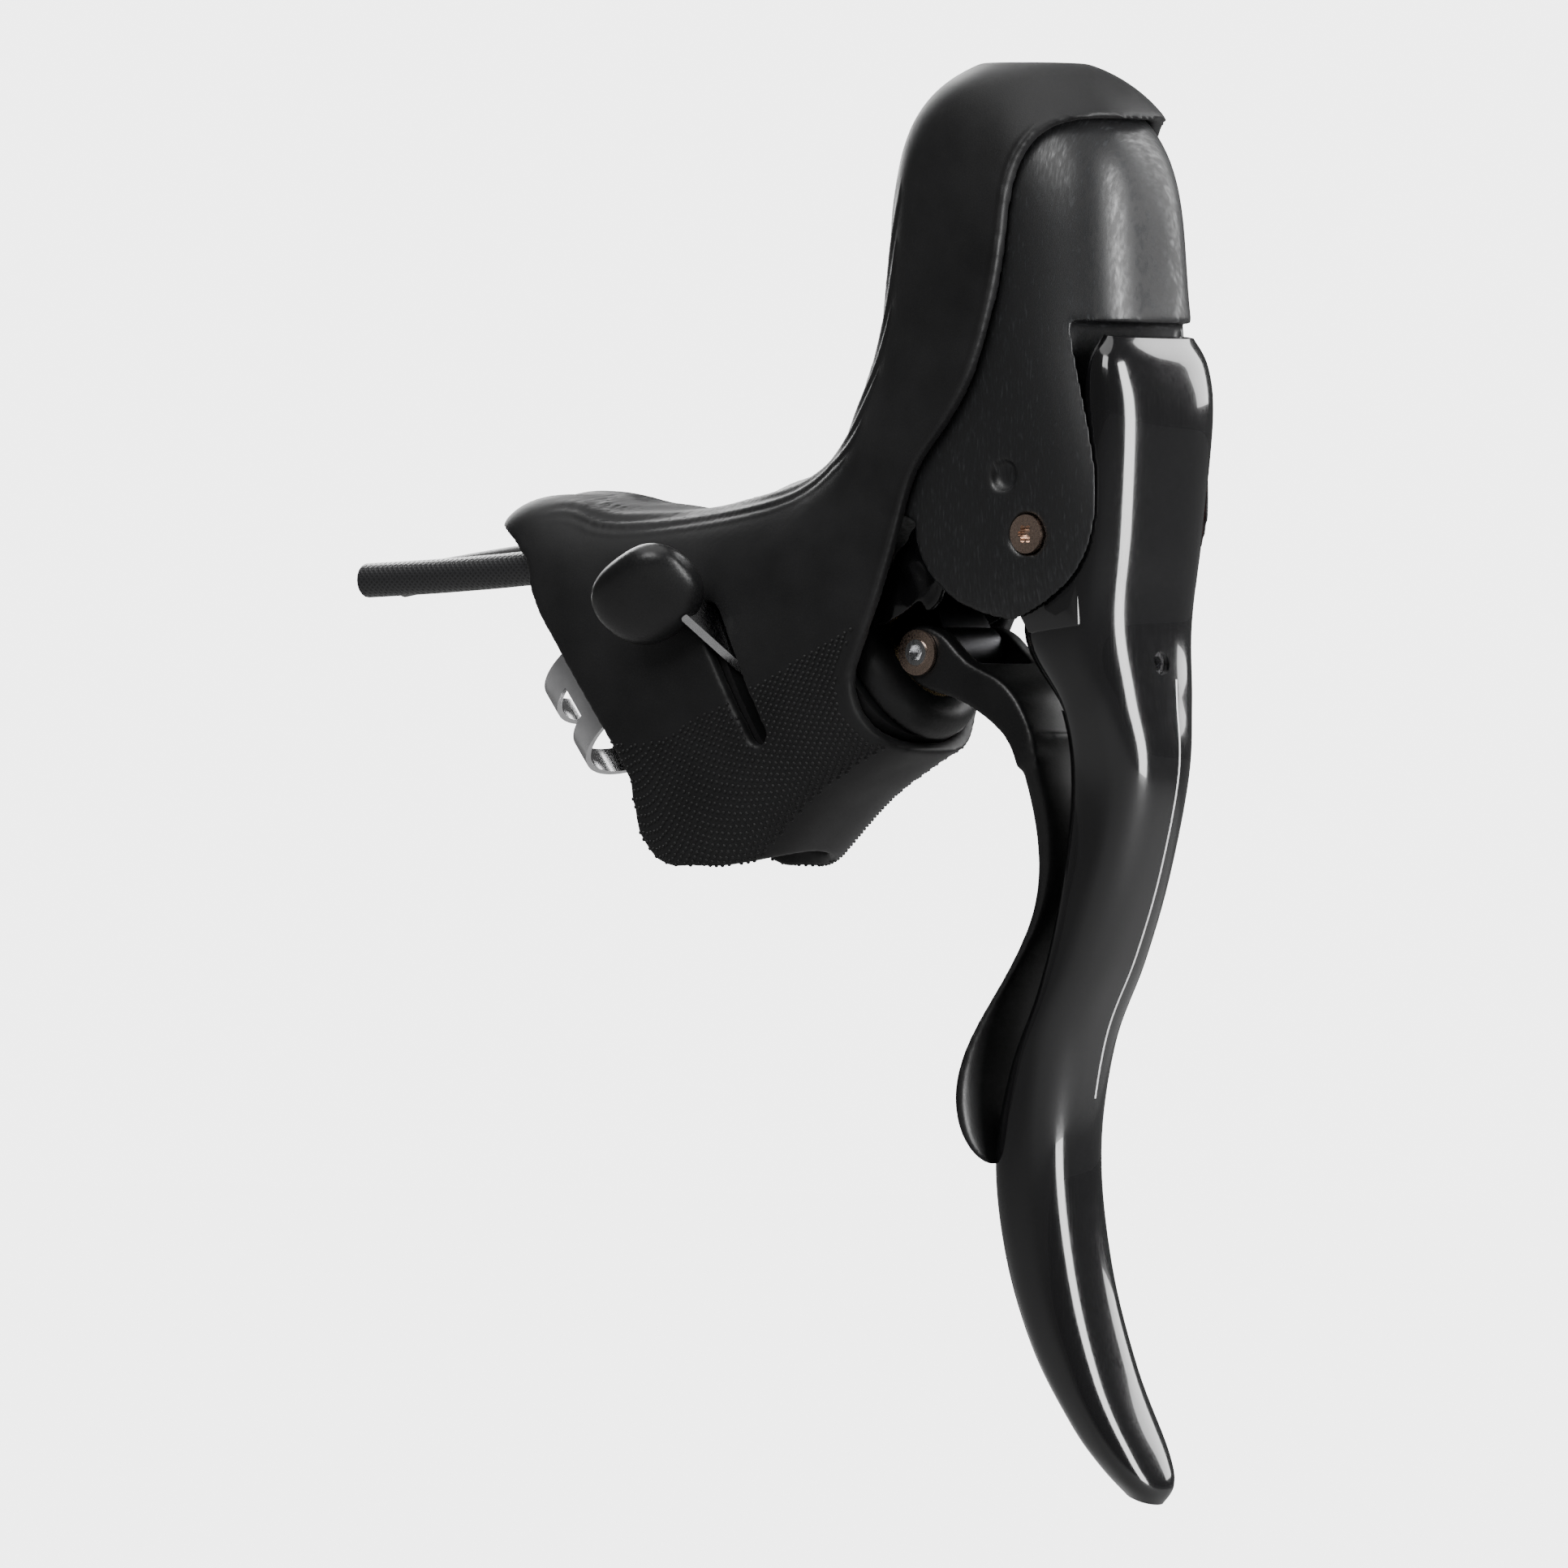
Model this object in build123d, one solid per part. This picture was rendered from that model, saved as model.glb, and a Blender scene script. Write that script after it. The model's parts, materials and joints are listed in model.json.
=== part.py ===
"""Hydraulic brake and shift lever for a drop handlebar, left hand. All sizes are in millimetres.

The origin is on the handlebar's axis, in the middle of the clamp. +X points forwards, +Y towards the outer
side and +Z up, with the brake lever hanging down. The thumb lever is on the inner side, at -Y.
"""
from build123d import *

import os
from math import cos, pi, radians, sin, tan

# ---- driving dimensions -------------------------------------------------------------------------------
BAR_R = 12.0  # 24 mm handlebar
BAR_SLOPE = 53.5  # the bar falls forwards at this angle
SADDLE_HALF = 13.0  # the saddle reaches this far each way along the bar
BAND_T, BAND_HALF, BAND_SLOT = 0.8, 6.5, 5.0
LEG_END = 18.2  # the band's legs reach this far in front of the bar's axis
YOKE_N = 16.4  # the yoke lies this far in front of the bar's axis
BOLT_HEAD_N = 27.0
BOLT_HOLE_R, BOLT_HEAD_R = 2.7, 4.0

HOOD_T = 2.0
BODY_INSET = 2.2  # the bodies' outer face lies this far inside the hood's

SHIFT_SLOPE = 27.0  # the shift mechanism's axis rises forwards at this angle
SHIFT_X, SHIFT_Z = 56.4, 7.1  # front end of that axis
CAVITY_R, CAVITY_REAR, CAVITY_FRONT = 10.2, -34.0, -9.5
CAP_FRONT = -4.9  # front of the mechanism's cap, clear of the paddle's fork
SHAFT_R = 2.5
THUMB_S, THUMB_T = -27.0, 1.4  # place along the shift axis and thickness of the thumb lever's plate
THUMB_UP = 43.0  # the thumb lever rises inwards at this angle
DRUM_S = -19.0
DRUM_R = 6.6  # bottom of the cable groove

PIVOT_X, PIVOT_Z = 81.7, 21.0  # brake lever pivot, along Y
PIVOT_R = 2.6
FORK_HALF = 12.8  # half width of the lever's slot in the cylinder housing
ROOT_HALF = 12.3  # half width of the lever's root

PISTON_X = 70.2  # master cylinder's axis, vertical
BORE_R = 5.0
BORE_LOW, BORE_HIGH = 30.0, 59.0
CAM_R = 2.2  # round end of the cam, under the push rod
RESERVOIR_R = 8.6
CAP_Z = 81.0  # seam between the housing and the reservoir's cap
CAP_SCREWS = 10.2  # from the cap's middle to each screw
CAP_X = 2.0  # the reservoir's middle is this far in front of the bore

PIN_DROP = 3.0  # the paddle's pin is this far below the shift axis
PIN_R = 1.85
ROCKER_HALF, PADDLE_HALF = 5.7, 8.9

CORD_Y = 8.0  # the hose lies this far inside the middle, and the cable as far outside
HOSE_Z, CABLE_Z = 20.3, 19.6  # their heights where they enter the body
TROUGH_Z = 16.9
HOSE_R, HOSE_BORE = 2.5, 1.25
HOUSING_R, HOUSING_BORE = 2.25, 0.9
WIRE_R = 0.6
GAP = 0.15  # between pieces that lie against each other

HOSE_ROUTE = [(41.0, -CORD_Y, HOSE_Z), (14.5, -CORD_Y, HOSE_Z), (-16.0, -7.7, 16.3), (-46.0, -7.0, 15.3)]
HOUSING_ROUTE = [(15.0, CORD_Y, CABLE_Z), (-8.0, CORD_Y, CABLE_Z), (-31.0, 7.6, 17.0), (-51.0, 6.8, 15.6)]
WIRE_START = [(39.5, 7.2, -1.5), (33.2, 7.4, 11.0), (27.0, CORD_Y, CABLE_Z)]

# ---- frames -------------------------------------------------------------------------------------------
BAR = Plane(
    origin=(0, 0, 0),
    x_dir=(sin(radians(BAR_SLOPE)), 0, cos(radians(BAR_SLOPE))),
    z_dir=(cos(radians(BAR_SLOPE)), 0, -sin(radians(BAR_SLOPE))),
)  # local x points forwards and up, square to the bar; local y inwards; local z down the bar
SHIFT = Plane(
    origin=(SHIFT_X, 0, SHIFT_Z),
    x_dir=(0, 1, 0),
    z_dir=(cos(radians(SHIFT_SLOPE)), 0, sin(radians(SHIFT_SLOPE))),
)  # local x points outwards, local y up, local z forwards along the mechanism
AHEAD = Plane(
    origin=(0, 0, 0), x_dir=(0, 1, 0), z_dir=(sin(radians(BAR_SLOPE)), 0, cos(radians(BAR_SLOPE)))
)  # local z points square to the bar, forwards
SIDEWAYS_YOKE = Plane(
    origin=(YOKE_N * sin(radians(BAR_SLOPE)), 0, YOKE_N * cos(radians(BAR_SLOPE))),
    x_dir=(1, 0, 0),
    z_dir=(0, 1, 0),
)  # across the clamp, through the yoke
UPRIGHT = Plane(origin=(PISTON_X, 0, 0), x_dir=(1, 0, 0), z_dir=(0, 0, 1))
FRONT = Plane(origin=(0, 0, 0), x_dir=(1, 0, 0), z_dir=(0, -1, 0))  # side view, seen from the inner side
PIN_X = SHIFT_X + PIN_DROP * sin(radians(SHIFT_SLOPE))
PIN_Z = SHIFT_Z - PIN_DROP * cos(radians(SHIFT_SLOPE))


def shift_point(up, along):
    """Side-view point at this height above the shift axis and this place along it."""
    angle = radians(SHIFT_SLOPE)
    return (SHIFT_X + along * cos(angle) - up * sin(angle), SHIFT_Z + along * sin(angle) + up * cos(angle))


def bar_point(ahead, down):
    """Side-view point this far ahead of the bar's axis and this far down the bar."""
    angle = radians(BAR_SLOPE)
    return (ahead * sin(angle) + down * cos(angle), ahead * cos(angle) - down * sin(angle))


# ---- small helpers ------------------------------------------------------------------------------------
def rod(plane, x, y, z0, z1, r):
    """A cylinder along a plane's normal, at local (x, y), from z0 to z1."""
    return plane * (Pos(x, y, (z0 + z1) / 2) * Cylinder(r, abs(z1 - z0)))


def ring(plane, x, y, z0, z1, r_out, r_in):
    return rod(plane, x, y, z0, z1, r_out) - rod(plane, x, y, z0 - 1, z1 + 1, r_in)


def hex_rod(plane, x, y, z0, z1, flat):
    """A hexagonal bar with this distance from its middle to a flat."""
    corner = flat / cos(pi / 6)
    prism = extrude(RegularPolygon(corner, 6), abs(z1 - z0))
    return plane * (Pos(x, y, min(z0, z1)) * prism)


def side_plane(x, z):
    """A frame at a side-view point, its normal along +Y."""
    return Plane(origin=(x, 0, z), x_dir=(1, 0, 0), z_dir=(0, 1, 0))


def cross(x, z, y0, y1, r):
    """A cylinder along Y, at a side-view point, from y0 to y1."""
    return rod(side_plane(x, z), 0, 0, y0, y1, r)


def plate(plane, points, z0, thickness):
    """A flat plate with straight edges in a frame, from local z0 up."""
    face = make_face(Polyline(*points, close=True))
    return plane * (Pos(0, 0, z0) * extrude(face, thickness, dir=(0, 0, 1)))


def drill(start, end, r):
    """A cylinder from one point to another."""
    axis = Vector(*end) - Vector(*start)
    return Plane(origin=start, z_dir=axis) * (Pos(0, 0, axis.length / 2) * Cylinder(r, axis.length))


def slab(outline, y0, y1):
    """A closed side-view outline made solid from y0 to y1."""
    face = Pos(0, y1, 0) * (FRONT * make_face(outline))
    return extrude(face, y1 - y0, dir=(0, -1, 0))


def sharp(*points):
    return Polyline(*points, close=True)


def smooth(*points):
    return Spline(*points, periodic=True)


def power(value, exponent):
    return (abs(value) ** exponent) * (1 if value >= 0 else -1)


def oval(top, bottom, half, exponent=2.6, y_mid=0.0, count=20):
    """A closed oval face. Its long axis runs from top to bottom in side view; half is its half width along Y."""
    mid_x, mid_z = (top[0] + bottom[0]) / 2, (top[1] + bottom[1]) / 2
    arm_x, arm_z = (top[0] - bottom[0]) / 2, (top[1] - bottom[1]) / 2
    points = []
    for i in range(count):
        angle = 2 * pi * i / count
        along, across = power(cos(angle), 2 / exponent), power(sin(angle), 2 / exponent)
        points.append((mid_x + arm_x * along, y_mid + half * across, mid_z + arm_z * along))
    return make_face(Spline(*points, periodic=True))


def coil(plane, z0, z1, r, turns, wire):
    """A helical spring along a plane's normal."""
    path = plane * (Pos(0, 0, z0) * Helix((z1 - z0) / turns, z1 - z0, r))
    section = Plane(origin=path @ 0, z_dir=path % 0) * Circle(wire)
    return sweep(section, path, is_frenet=True)


def route_path(points):
    """Straight runs joined by tangent arcs as large as the runs allow, and those arcs' radii."""
    corners = [Vector(*p) for p in points]
    radii = []
    for before, here, after in zip(corners, corners[1:], corners[2:]):
        turn = radians((here - before).get_angle(after - here))
        run = min((here - before).length, (after - here).length)
        radii.append(0.45 * run / tan(turn / 2))
    return FilletPolyline(*points, radius=radii), radii


def hose_tube(points, r_out, r_in):
    """A tube along a route; it prints its bends and compares its volume with section times length."""
    path, radii = route_path(points)
    section = Circle(r_out) - Circle(r_in) if r_in else Circle(r_out)
    solid = sweep(Plane(origin=path @ 0, z_dir=path % 0) * section, path)
    expected = pi * (r_out**2 - r_in**2) * path.length
    bends = [round(r, 1) for r in radii]
    print("route", round(path.length, 2), "bends", bends, "volume ratio", round(solid.volume / expected, 4))
    return solid


# ---- outer shape of the grip and horn -----------------------------------------------------------------
# each cut across the hood, in side view: its top and rear end, its bottom and front end, half width, squareness
CUTS = [
    ((-25.0, 25.0), (1.0, -28.0), 15.2, 3.6),
    ((-10.0, 28.0), (12.0, -27.8), 15.4, 3.6),
    ((4.0, 26.6), (22.5, -26.5), 15.9, 3.2),
    ((28.0, 30.0), (50.0, -11.4), 16.8, 2.8),
    ((35.5, 33.5), (65.0, -4.8), 17.2, 2.8),
    ((41.0, 39.0), (84.0, 2.5), 17.3, 3.2),
    ((45.0, 46.5), (98.6, 13.0), 17.3, 3.4),
    ((48.3, 54.5), (99.4, 34.0), 17.3, 3.2),
    ((50.4, 63.0), (96.2, 52.0), 17.3, 2.9),
    ((51.9, 71.0), (95.0, 67.0), 16.9, 2.8),
    ((54.0, 78.6), (92.2, 77.2), 15.4, 2.6),
    ((58.4, 84.6), (86.4, 84.0), 12.0, 2.4),
    ((64.0, 88.0), (79.0, 87.8), 6.8, 2.2),
]


def envelope(inset):
    """The grip and horn as one solid, inset from the hood's outer face."""
    faces = []
    for number, (top, bottom, half, squareness) in enumerate(CUTS):
        length = ((top[0] - bottom[0]) ** 2 + (top[1] - bottom[1]) ** 2) ** 0.5
        step_x, step_z = (top[0] - bottom[0]) / length * inset, (top[1] - bottom[1]) / length * inset
        drop = max(0, number - 9) / 3 * inset  # the dome comes down with its skin
        high, low = (top[0] - step_x, top[1] - step_z - drop), (bottom[0] + step_x, bottom[1] + step_z - drop)
        faces.append(oval(high, low, half - inset, squareness))
    return loft(faces)


LIP = [
    (99.0, 76.5), (91.0, 79.6), (83.5, 78.0), (80.0, 72.0), (78.6, 62.0), (76.4, 52.0), (72.8, 43.0),
    (67.6, 36.0), (62.4, 30.0), (60.0, 23.0), (56.6, 13.3), (52.8, 5.5), (50.2, 0.0), (50.6, -5.4),
    (55.6, -10.6),
]  # front edge of the hood, from its top down


def lip_line(offset):
    return Spline(*[(x + offset, z) for x, z in LIP])


def in_front_of_lip(offset=0.0):
    """Everything in front of the hood's front edge."""
    edge = lip_line(offset)
    last_x, last_z = LIP[-1]
    first_x, first_z = LIP[0]
    rest = Polyline(
        (last_x + offset, last_z), (66.0, -30.0), (130.0, -30.0), (130.0, first_z), (first_x + offset, first_z)
    )
    return slab([edge, rest], -30, 30)


def bar_space(clearance, z0=-70.0, z1=70.0):
    return rod(BAR, 0, 0, z0, z1, BAR_R + clearance)


# ---- pieces under the hood ----------------------------------------------------------------------------
def rubber_hood():
    """The grip's rubber cover. It is open at the front, the rear and the thumb lever's slot."""
    skin = envelope(0) - envelope(HOOD_T) - in_front_of_lip()
    rear = slab(
        sharp((-40, 40), (-27.0, 24.4), (-18.0, 20.6), bar_point(0, -22.0), bar_point(0, 16.0),
              bar_point(-3.4, 22.0), (15.0, -24.0), (20.0, -31.0), (-40, -40)),
        -30, 30,
    )
    under_bar = bar_space(0.5, 0, 70)
    slot_top, slot_low = shift_point(17.0, THUMB_S), shift_point(-2.0, THUMB_S)
    slot = cross(*slot_top, -25, -8, 2.2) + cross(*slot_low, -25, -8, 1.5)
    side = FRONT * make_face(sharp(
        shift_point(17.0, THUMB_S - 2.2), shift_point(17.0, THUMB_S + 2.2),
        shift_point(-2.0, THUMB_S + 1.5), shift_point(-2.0, THUMB_S - 1.5)))
    slot += Pos(0, -8, 0) * extrude(side, 17, dir=(0, -1, 0))
    return skin - rear - under_bar - slot


def cord_trough(y0, y1, x0, x1):
    """Channel for the hose or the cable, open at its top; its floor falls towards the rear."""
    bend = 14.0
    return slab(sharp((x0, TROUGH_Z - (bend - x0) * 0.15), (bend, TROUGH_Z), (x1, TROUGH_Z), (x1, 60.0), (x0, 60.0)),
                y0, y1)


def bracket_body():
    """Body on the handlebar. It holds the clamp, the cable stop and the shift mechanism."""
    outline = sharp(
        bar_point(2, -16), bar_point(2, 16), bar_point(6, 25), (28, -32), (70, -32),
        shift_point(-20, CAVITY_FRONT), shift_point(12.3, CAVITY_FRONT), shift_point(12.3, -12.2), (39.9, 60),
        (-7.9, 60))
    body = envelope(BODY_INSET) - thumb_sweep(THUMB_T / 2 + 0.5)
    body -= rod(SHIFT, 0, 0, CAVITY_REAR, 0, CAVITY_R)
    body &= slab(outline, -30, 30)
    body -= bar_space(0)
    body -= bar_space(0.5, SADDLE_HALF, 80)
    body -= bar_space(0.5, -80, -SADDLE_HALF)
    body -= rod(SHIFT, 0, 0, CAVITY_REAR - 1.5, CAVITY_REAR, 4.0)
    for side in (-1, 1):  # pockets for the band's legs
        leg = Box(LEG_END + 4, 3.0, 2 * BAND_HALF + 0.6)
        body -= BAR * (Pos((LEG_END + 2) / 2, side * (BAR_R + 1.5 - GAP), 0) * leg)
    body -= cord_trough(-11.4, -4.6, -20, 45)
    body -= cord_trough(4.6, 11.4, -20, 17.15)
    body -= slab(sharp((20.4, TROUGH_Z), (45, TROUGH_Z), (45, 60), (20.4, 60)), 4.6, 11.4)
    body -= drill((15, CORD_Y, CABLE_Z), (25, CORD_Y, CABLE_Z), 1.2)
    tunnel = WIRE_START + [(24.0, CORD_Y, CABLE_Z + 1)]
    for start, end in zip(tunnel, tunnel[1:]):
        body -= drill(start, end, 1.6)
    body -= rod(SIDEWAYS_YOKE, 0, 0, -20, 20, 3.0 + GAP)
    body -= rod(AHEAD, 0, 0, 8, BOLT_HEAD_N, BOLT_HOLE_R)
    body -= rod(AHEAD, 0, 0, BOLT_HEAD_N, 50, BOLT_HEAD_R + 0.4)
    return body


def thumb_sweep(half):
    """Space that the thumb lever's arm sweeps through the mechanism's wall."""
    return plate(SHIFT, [(0, -6), (-26, -9), (-26, 34), (0, 9)], THUMB_S - half, 2 * half)


def clamp_band():
    """Polished strap behind the bar, split in two strips, with two flat legs that reach into the body."""
    strap = ring(BAR, 0, 0, -BAND_HALF, BAND_HALF, BAR_R + BAND_T, BAR_R)
    strap -= BAR * (Pos(20, 0, 0) * Box(40, 60, 60))
    window = BAR * (Pos(-10.0, 0, 0) * Box(12, 60, BAND_SLOT))
    strap -= window
    for side in (-1, 1):
        leg = BAR * (Pos(LEG_END / 2, side * (BAR_R + BAND_T / 2), 0) * Box(LEG_END, BAND_T, 2 * BAND_HALF))
        strap += leg
    return strap - rod(SIDEWAYS_YOKE, 0, 0, -20, 20, 2.2)


def clamp_yoke():
    """Cross barrel in the band's legs; the clamp bolt pulls it forwards."""
    barrel = rod(SIDEWAYS_YOKE, 0, 0, -BAR_R + GAP, BAR_R - GAP, 3.0)
    barrel += rod(SIDEWAYS_YOKE, 0, 0, -BAR_R - BAND_T, BAR_R + BAND_T, 2.15)
    return barrel - rod(AHEAD, 0, 0, 8, 40, 2.5)


def clamp_bolt():
    bolt = rod(AHEAD, 0, 0, YOKE_N - 3.6, BOLT_HEAD_N + 1, 2.45)
    bolt += rod(AHEAD, 0, 0, BOLT_HEAD_N + GAP, BOLT_HEAD_N + 4.6, 4.2)
    return bolt - hex_rod(AHEAD, 0, 0, BOLT_HEAD_N + 2.2, BOLT_HEAD_N + 6, 2.5)


def cylinder_housing():
    """Master cylinder, reservoir and the two cheeks that carry the brake lever."""
    outline = [
        Spline((99.5, 26.0), (96.4, 17.2), (91.0, 11.6), (83.1, 8.4), (75.0, 9.3), (67.8, 12.2), (63.2, 17.0),
               (61.6, 23.0)),
        Polyline((61.6, 23.0), (58.0, 24.5), shift_point(12.6, 3.0), shift_point(12.6, -11.6), (40.3, 60.0),
                 (40.3, CAP_Z), (130.0, CAP_Z), (130.0, 26.0), (99.5, 26.0)),
    ]
    body = envelope(BODY_INSET) & slab(outline, -30, 30)
    slot = sharp((110, 0), (110, 50.0), (96, 50.6), (87.6, 51.0), (86.2, 42.0), (80.0, 31.5), (76.5, BORE_LOW),
                 (61.0, BORE_LOW), (59.0, 25.2), (55.0, 20.0), (55.0, 0.0))
    body -= slab(slot, -FORK_HALF, FORK_HALF)
    body -= rod(UPRIGHT, 0, 0, BORE_LOW - 1, BORE_HIGH + 4, BORE_R)
    body -= rod(UPRIGHT, CAP_X, 0, BORE_HIGH + 4 - GAP, CAP_Z + 5, RESERVOIR_R)
    body -= cross(PIVOT_X, PIVOT_Z, -30, 30, PIVOT_R + 0.02)
    body -= cross(PIVOT_X, PIVOT_Z, -30, -13.4, 2.9)
    body -= cross(77.8, 29.3, -30, -14.0, 2.2)
    body -= drill((38, -CORD_Y, HOSE_Z), (47.5, -CORD_Y, HOSE_Z), 2.8 + 0.05)
    body -= drill((46, -CORD_Y, HOSE_Z), (53.5, -CORD_Y, HOSE_Z + 1.5), 1.0)
    body -= drill((53.5, -CORD_Y, HOSE_Z + 1), (57.0, -6.0, 57.0), 1.0)
    body -= drill((57.0, -6.0, 56.6), (69.0, 0.0, 57.0), 1.0)
    for x in (-1, 1):
        body -= rod(UPRIGHT, CAP_X + x * CAP_SCREWS, 0, CAP_Z - 6, CAP_Z + 4, 0.95)
    return body


def reservoir_cap():
    cap = envelope(BODY_INSET) & Pos(PISTON_X, 0, CAP_Z + 10 + GAP) * Box(80, 80, 20)
    cap -= rod(UPRIGHT, CAP_X, 0, CAP_Z - 1, CAP_Z + 2.0, RESERVOIR_R - 1.0)
    for x in (-1, 1):
        cap -= rod(UPRIGHT, CAP_X + x * CAP_SCREWS, 0, CAP_Z - 2, CAP_Z + 10, 1.05)
        cap -= rod(UPRIGHT, CAP_X + x * CAP_SCREWS, 0, CAP_Z + 0.7, CAP_Z + 10, 1.9)
    cap -= rod(UPRIGHT, CAP_X, 0, CAP_Z, CAP_Z + 10, 2.0)
    return cap


def cover_screws():
    """Two countersunk screws that hold the reservoir's cap."""
    screws = []
    for x in (-1, 1):
        place = CAP_X + x * CAP_SCREWS
        screw = rod(UPRIGHT, place, 0, CAP_Z - 5, CAP_Z + 0.7, 0.9)
        screw += rod(UPRIGHT, place, 0, CAP_Z + 0.7, CAP_Z + 1.8, 1.75)
        screws.append(screw - hex_rod(UPRIGHT, place, 0, CAP_Z + 1.2, CAP_Z + 3, 0.9))
    return Compound(screws)


def bleed_screw():
    screw = rod(UPRIGHT, CAP_X, 0, CAP_Z + 2.4, CAP_Z + 4.5, 1.95)
    return screw - hex_rod(UPRIGHT, CAP_X, 0, CAP_Z + 3.4, CAP_Z + 5, 1.1)


def reservoir_bladder():
    """Rubber cup in the reservoir that follows the fluid's level."""
    cup = rod(UPRIGHT, CAP_X, 0, BORE_HIGH + 8, CAP_Z - GAP, RESERVOIR_R - 0.4)
    cup -= rod(UPRIGHT, CAP_X, 0, BORE_HIGH + 9.2, CAP_Z + 1, RESERVOIR_R - 1.6)
    return cup


def cylinder_plug():
    plug = rod(UPRIGHT, 0, 0, BORE_HIGH, BORE_HIGH + 4, BORE_R)
    plug += rod(UPRIGHT, 0, 0, BORE_HIGH + 4, BORE_HIGH + 6, BORE_R + 1.2)
    plug -= rod(UPRIGHT, 0, 0, BORE_HIGH - 1, BORE_HIGH + 7, 0.8)
    return plug - ring(UPRIGHT, 0, 0, BORE_HIGH + 1.2, BORE_HIGH + 2.6, BORE_R + 1, BORE_R - 1.0)


def plug_seal():
    return ring(UPRIGHT, 0, 0, BORE_HIGH + 1.3, BORE_HIGH + 2.5, BORE_R - 0.02, BORE_R - 0.98)


# ---- brake lever and piston ---------------------------------------------------------------------------
CAM_Z = PIVOT_Z - 0.2
ROD_LOW = CAM_Z + CAM_R + 0.1
PISTON_LOW, PISTON_HIGH = 33.2, 44.0
POCKET_HALF, WEB_HALF = 9.6, 3.2
REACH_AXIS = Plane(origin=(85, 0, 2.8), x_dir=(0, 1, 0), z_dir=(1, 0, 0))  # reach screw, from the front

BLADE = [  # rear end, front end, half width, place along Y, squareness
    ((90.6, 49.2), (96.0, 48.6), 9.6, 0.0, 2.8),
    ((88.4, 45.5), (98.0, 44.5), 11.8, 0.0, 3.2),
    ((86.8, 38.0), (98.8, 37.0), ROOT_HALF, 0.0, 3.4),
    ((81.0, 22.0), (98.6, 21.0), ROOT_HALF, 0.0, 3.4),
    ((75.6, 7.4), (97.8, 8.4), 12.1, 0.0, 3.6),
    ((81.4, -4.4), (96.8, -2.0), 10.4, 0.0, 3.1),
    ((81.6, -16.0), (95.6, -12.6), 8.4, 0.2, 2.8),
    ((78.8, -31.6), (92.2, -26.8), 7.9, 0.5, 2.7),
    ((74.6, -44.0), (87.4, -38.6), 7.8, 1.1, 2.7),
    ((69.2, -55.0), (81.4, -50.4), 7.8, 1.8, 2.7),
    ((66.0, -67.2), (78.4, -66.0), 7.8, 2.4, 2.7),
    ((66.8, -80.8), (79.4, -82.6), 7.8, 3.6, 2.7),
    ((70.4, -93.6), (82.8, -97.6), 7.8, 5.2, 2.7),
    ((75.6, -104.0), (87.4, -109.2), 7.2, 6.8, 2.6),
    ((79.4, -110.0), (88.6, -113.8), 5.6, 7.6, 2.4),
    ((82.6, -114.4), (87.4, -116.2), 2.8, 8.1, 2.2),
]


def blade_loft():
    return loft([oval(rear, front, half, square, y_mid) for rear, front, half, y_mid, square in BLADE])


def brake_lever():
    """Blade with a hollow root, two pivot plates and the cam that lifts the push rod."""
    body = blade_loft()
    pocket = sharp((60, -2), (86, -4), (91.6, 2), (94.8, 10), (95.2, 30), (94.2, 44.5), (90.0, 52), (60, 52))
    body -= slab(pocket, -POCKET_HALF, POCKET_HALF)
    plate = [
        Spline((88.5, 31.0), (80.0, 28.6), (75.4, 25.0), (74.4, 20.0), (75.4, 14.0), (80.0, 7.0)),
        Polyline((80.0, 7.0), (89.0, 8.0), (88.5, 31.0)),
    ]
    for low, high in ((-ROOT_HALF, -POCKET_HALF), (POCKET_HALF, ROOT_HALF)):
        body += slab(plate, low, high)
    web_top = CAM_Z + CAM_R - 0.4
    web = sharp((PISTON_X, web_top), (PISTON_X + 3.6, web_top), (81, 27), (95.6, 27), (95.6, 0), (89, 0),
                (86, 14.6), (PISTON_X, CAM_Z - CAM_R))
    body += slab(web, -WEB_HALF, WEB_HALF) + cross(PISTON_X, CAM_Z, -WEB_HALF, WEB_HALF, CAM_R)
    body -= cross(PIVOT_X, PIVOT_Z, -20, 20, 3.5)
    body -= rod(REACH_AXIS, 0, 0, -2, 20, 1.7)
    return body


def reach_adjust_screw():
    return rod(REACH_AXIS, 0, 0, 1.5, 8.5, 1.66) - hex_rod(REACH_AXIS, 0, 0, 6.5, 9, 1.0)


def lever_bushes():
    bushes = []
    for side in (-1, 1):
        bushes.append(ring(side_plane(PIVOT_X, PIVOT_Z), 0, 0, *sorted((side * 9.2, side * ROOT_HALF)), 3.5, PIVOT_R + 0.03))
    bushes.append(ring(side_plane(PIVOT_X, PIVOT_Z), 0, 0, -3.2, 3.2, 3.5, PIVOT_R + 0.03))
    return Compound(bushes)


def lever_pivot_pin():
    return cross(PIVOT_X, PIVOT_Z, -13.0, 14.2, PIVOT_R)


def pivot_screw():
    """Bronze star-socket screw in the inner cheek."""
    head = cross(PIVOT_X, PIVOT_Z, -15.0, -13.4, 2.75) + cross(PIVOT_X, PIVOT_Z, -13.4, -13.0, PIVOT_R)
    head -= cross(PIVOT_X, PIVOT_Z, -16, -14.0, 1.0)
    for i in range(6):
        angle = i * pi / 3
        head -= cross(PIVOT_X + 0.95 * cos(angle), PIVOT_Z + 0.95 * sin(angle), -16, -14.0, 0.4)
    return head


def lever_return_spring():
    return coil(side_plane(PIVOT_X, PIVOT_Z), 4.2, 8.4, 3.6, 4, 0.4)


def push_rod():
    stem = rod(UPRIGHT, 0, 0, ROD_LOW, ROD_LOW + 1.4, 2.8)
    stem += rod(UPRIGHT, 0, 0, ROD_LOW + 1.4, PISTON_LOW + 2, 1.6)
    return stem


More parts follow.
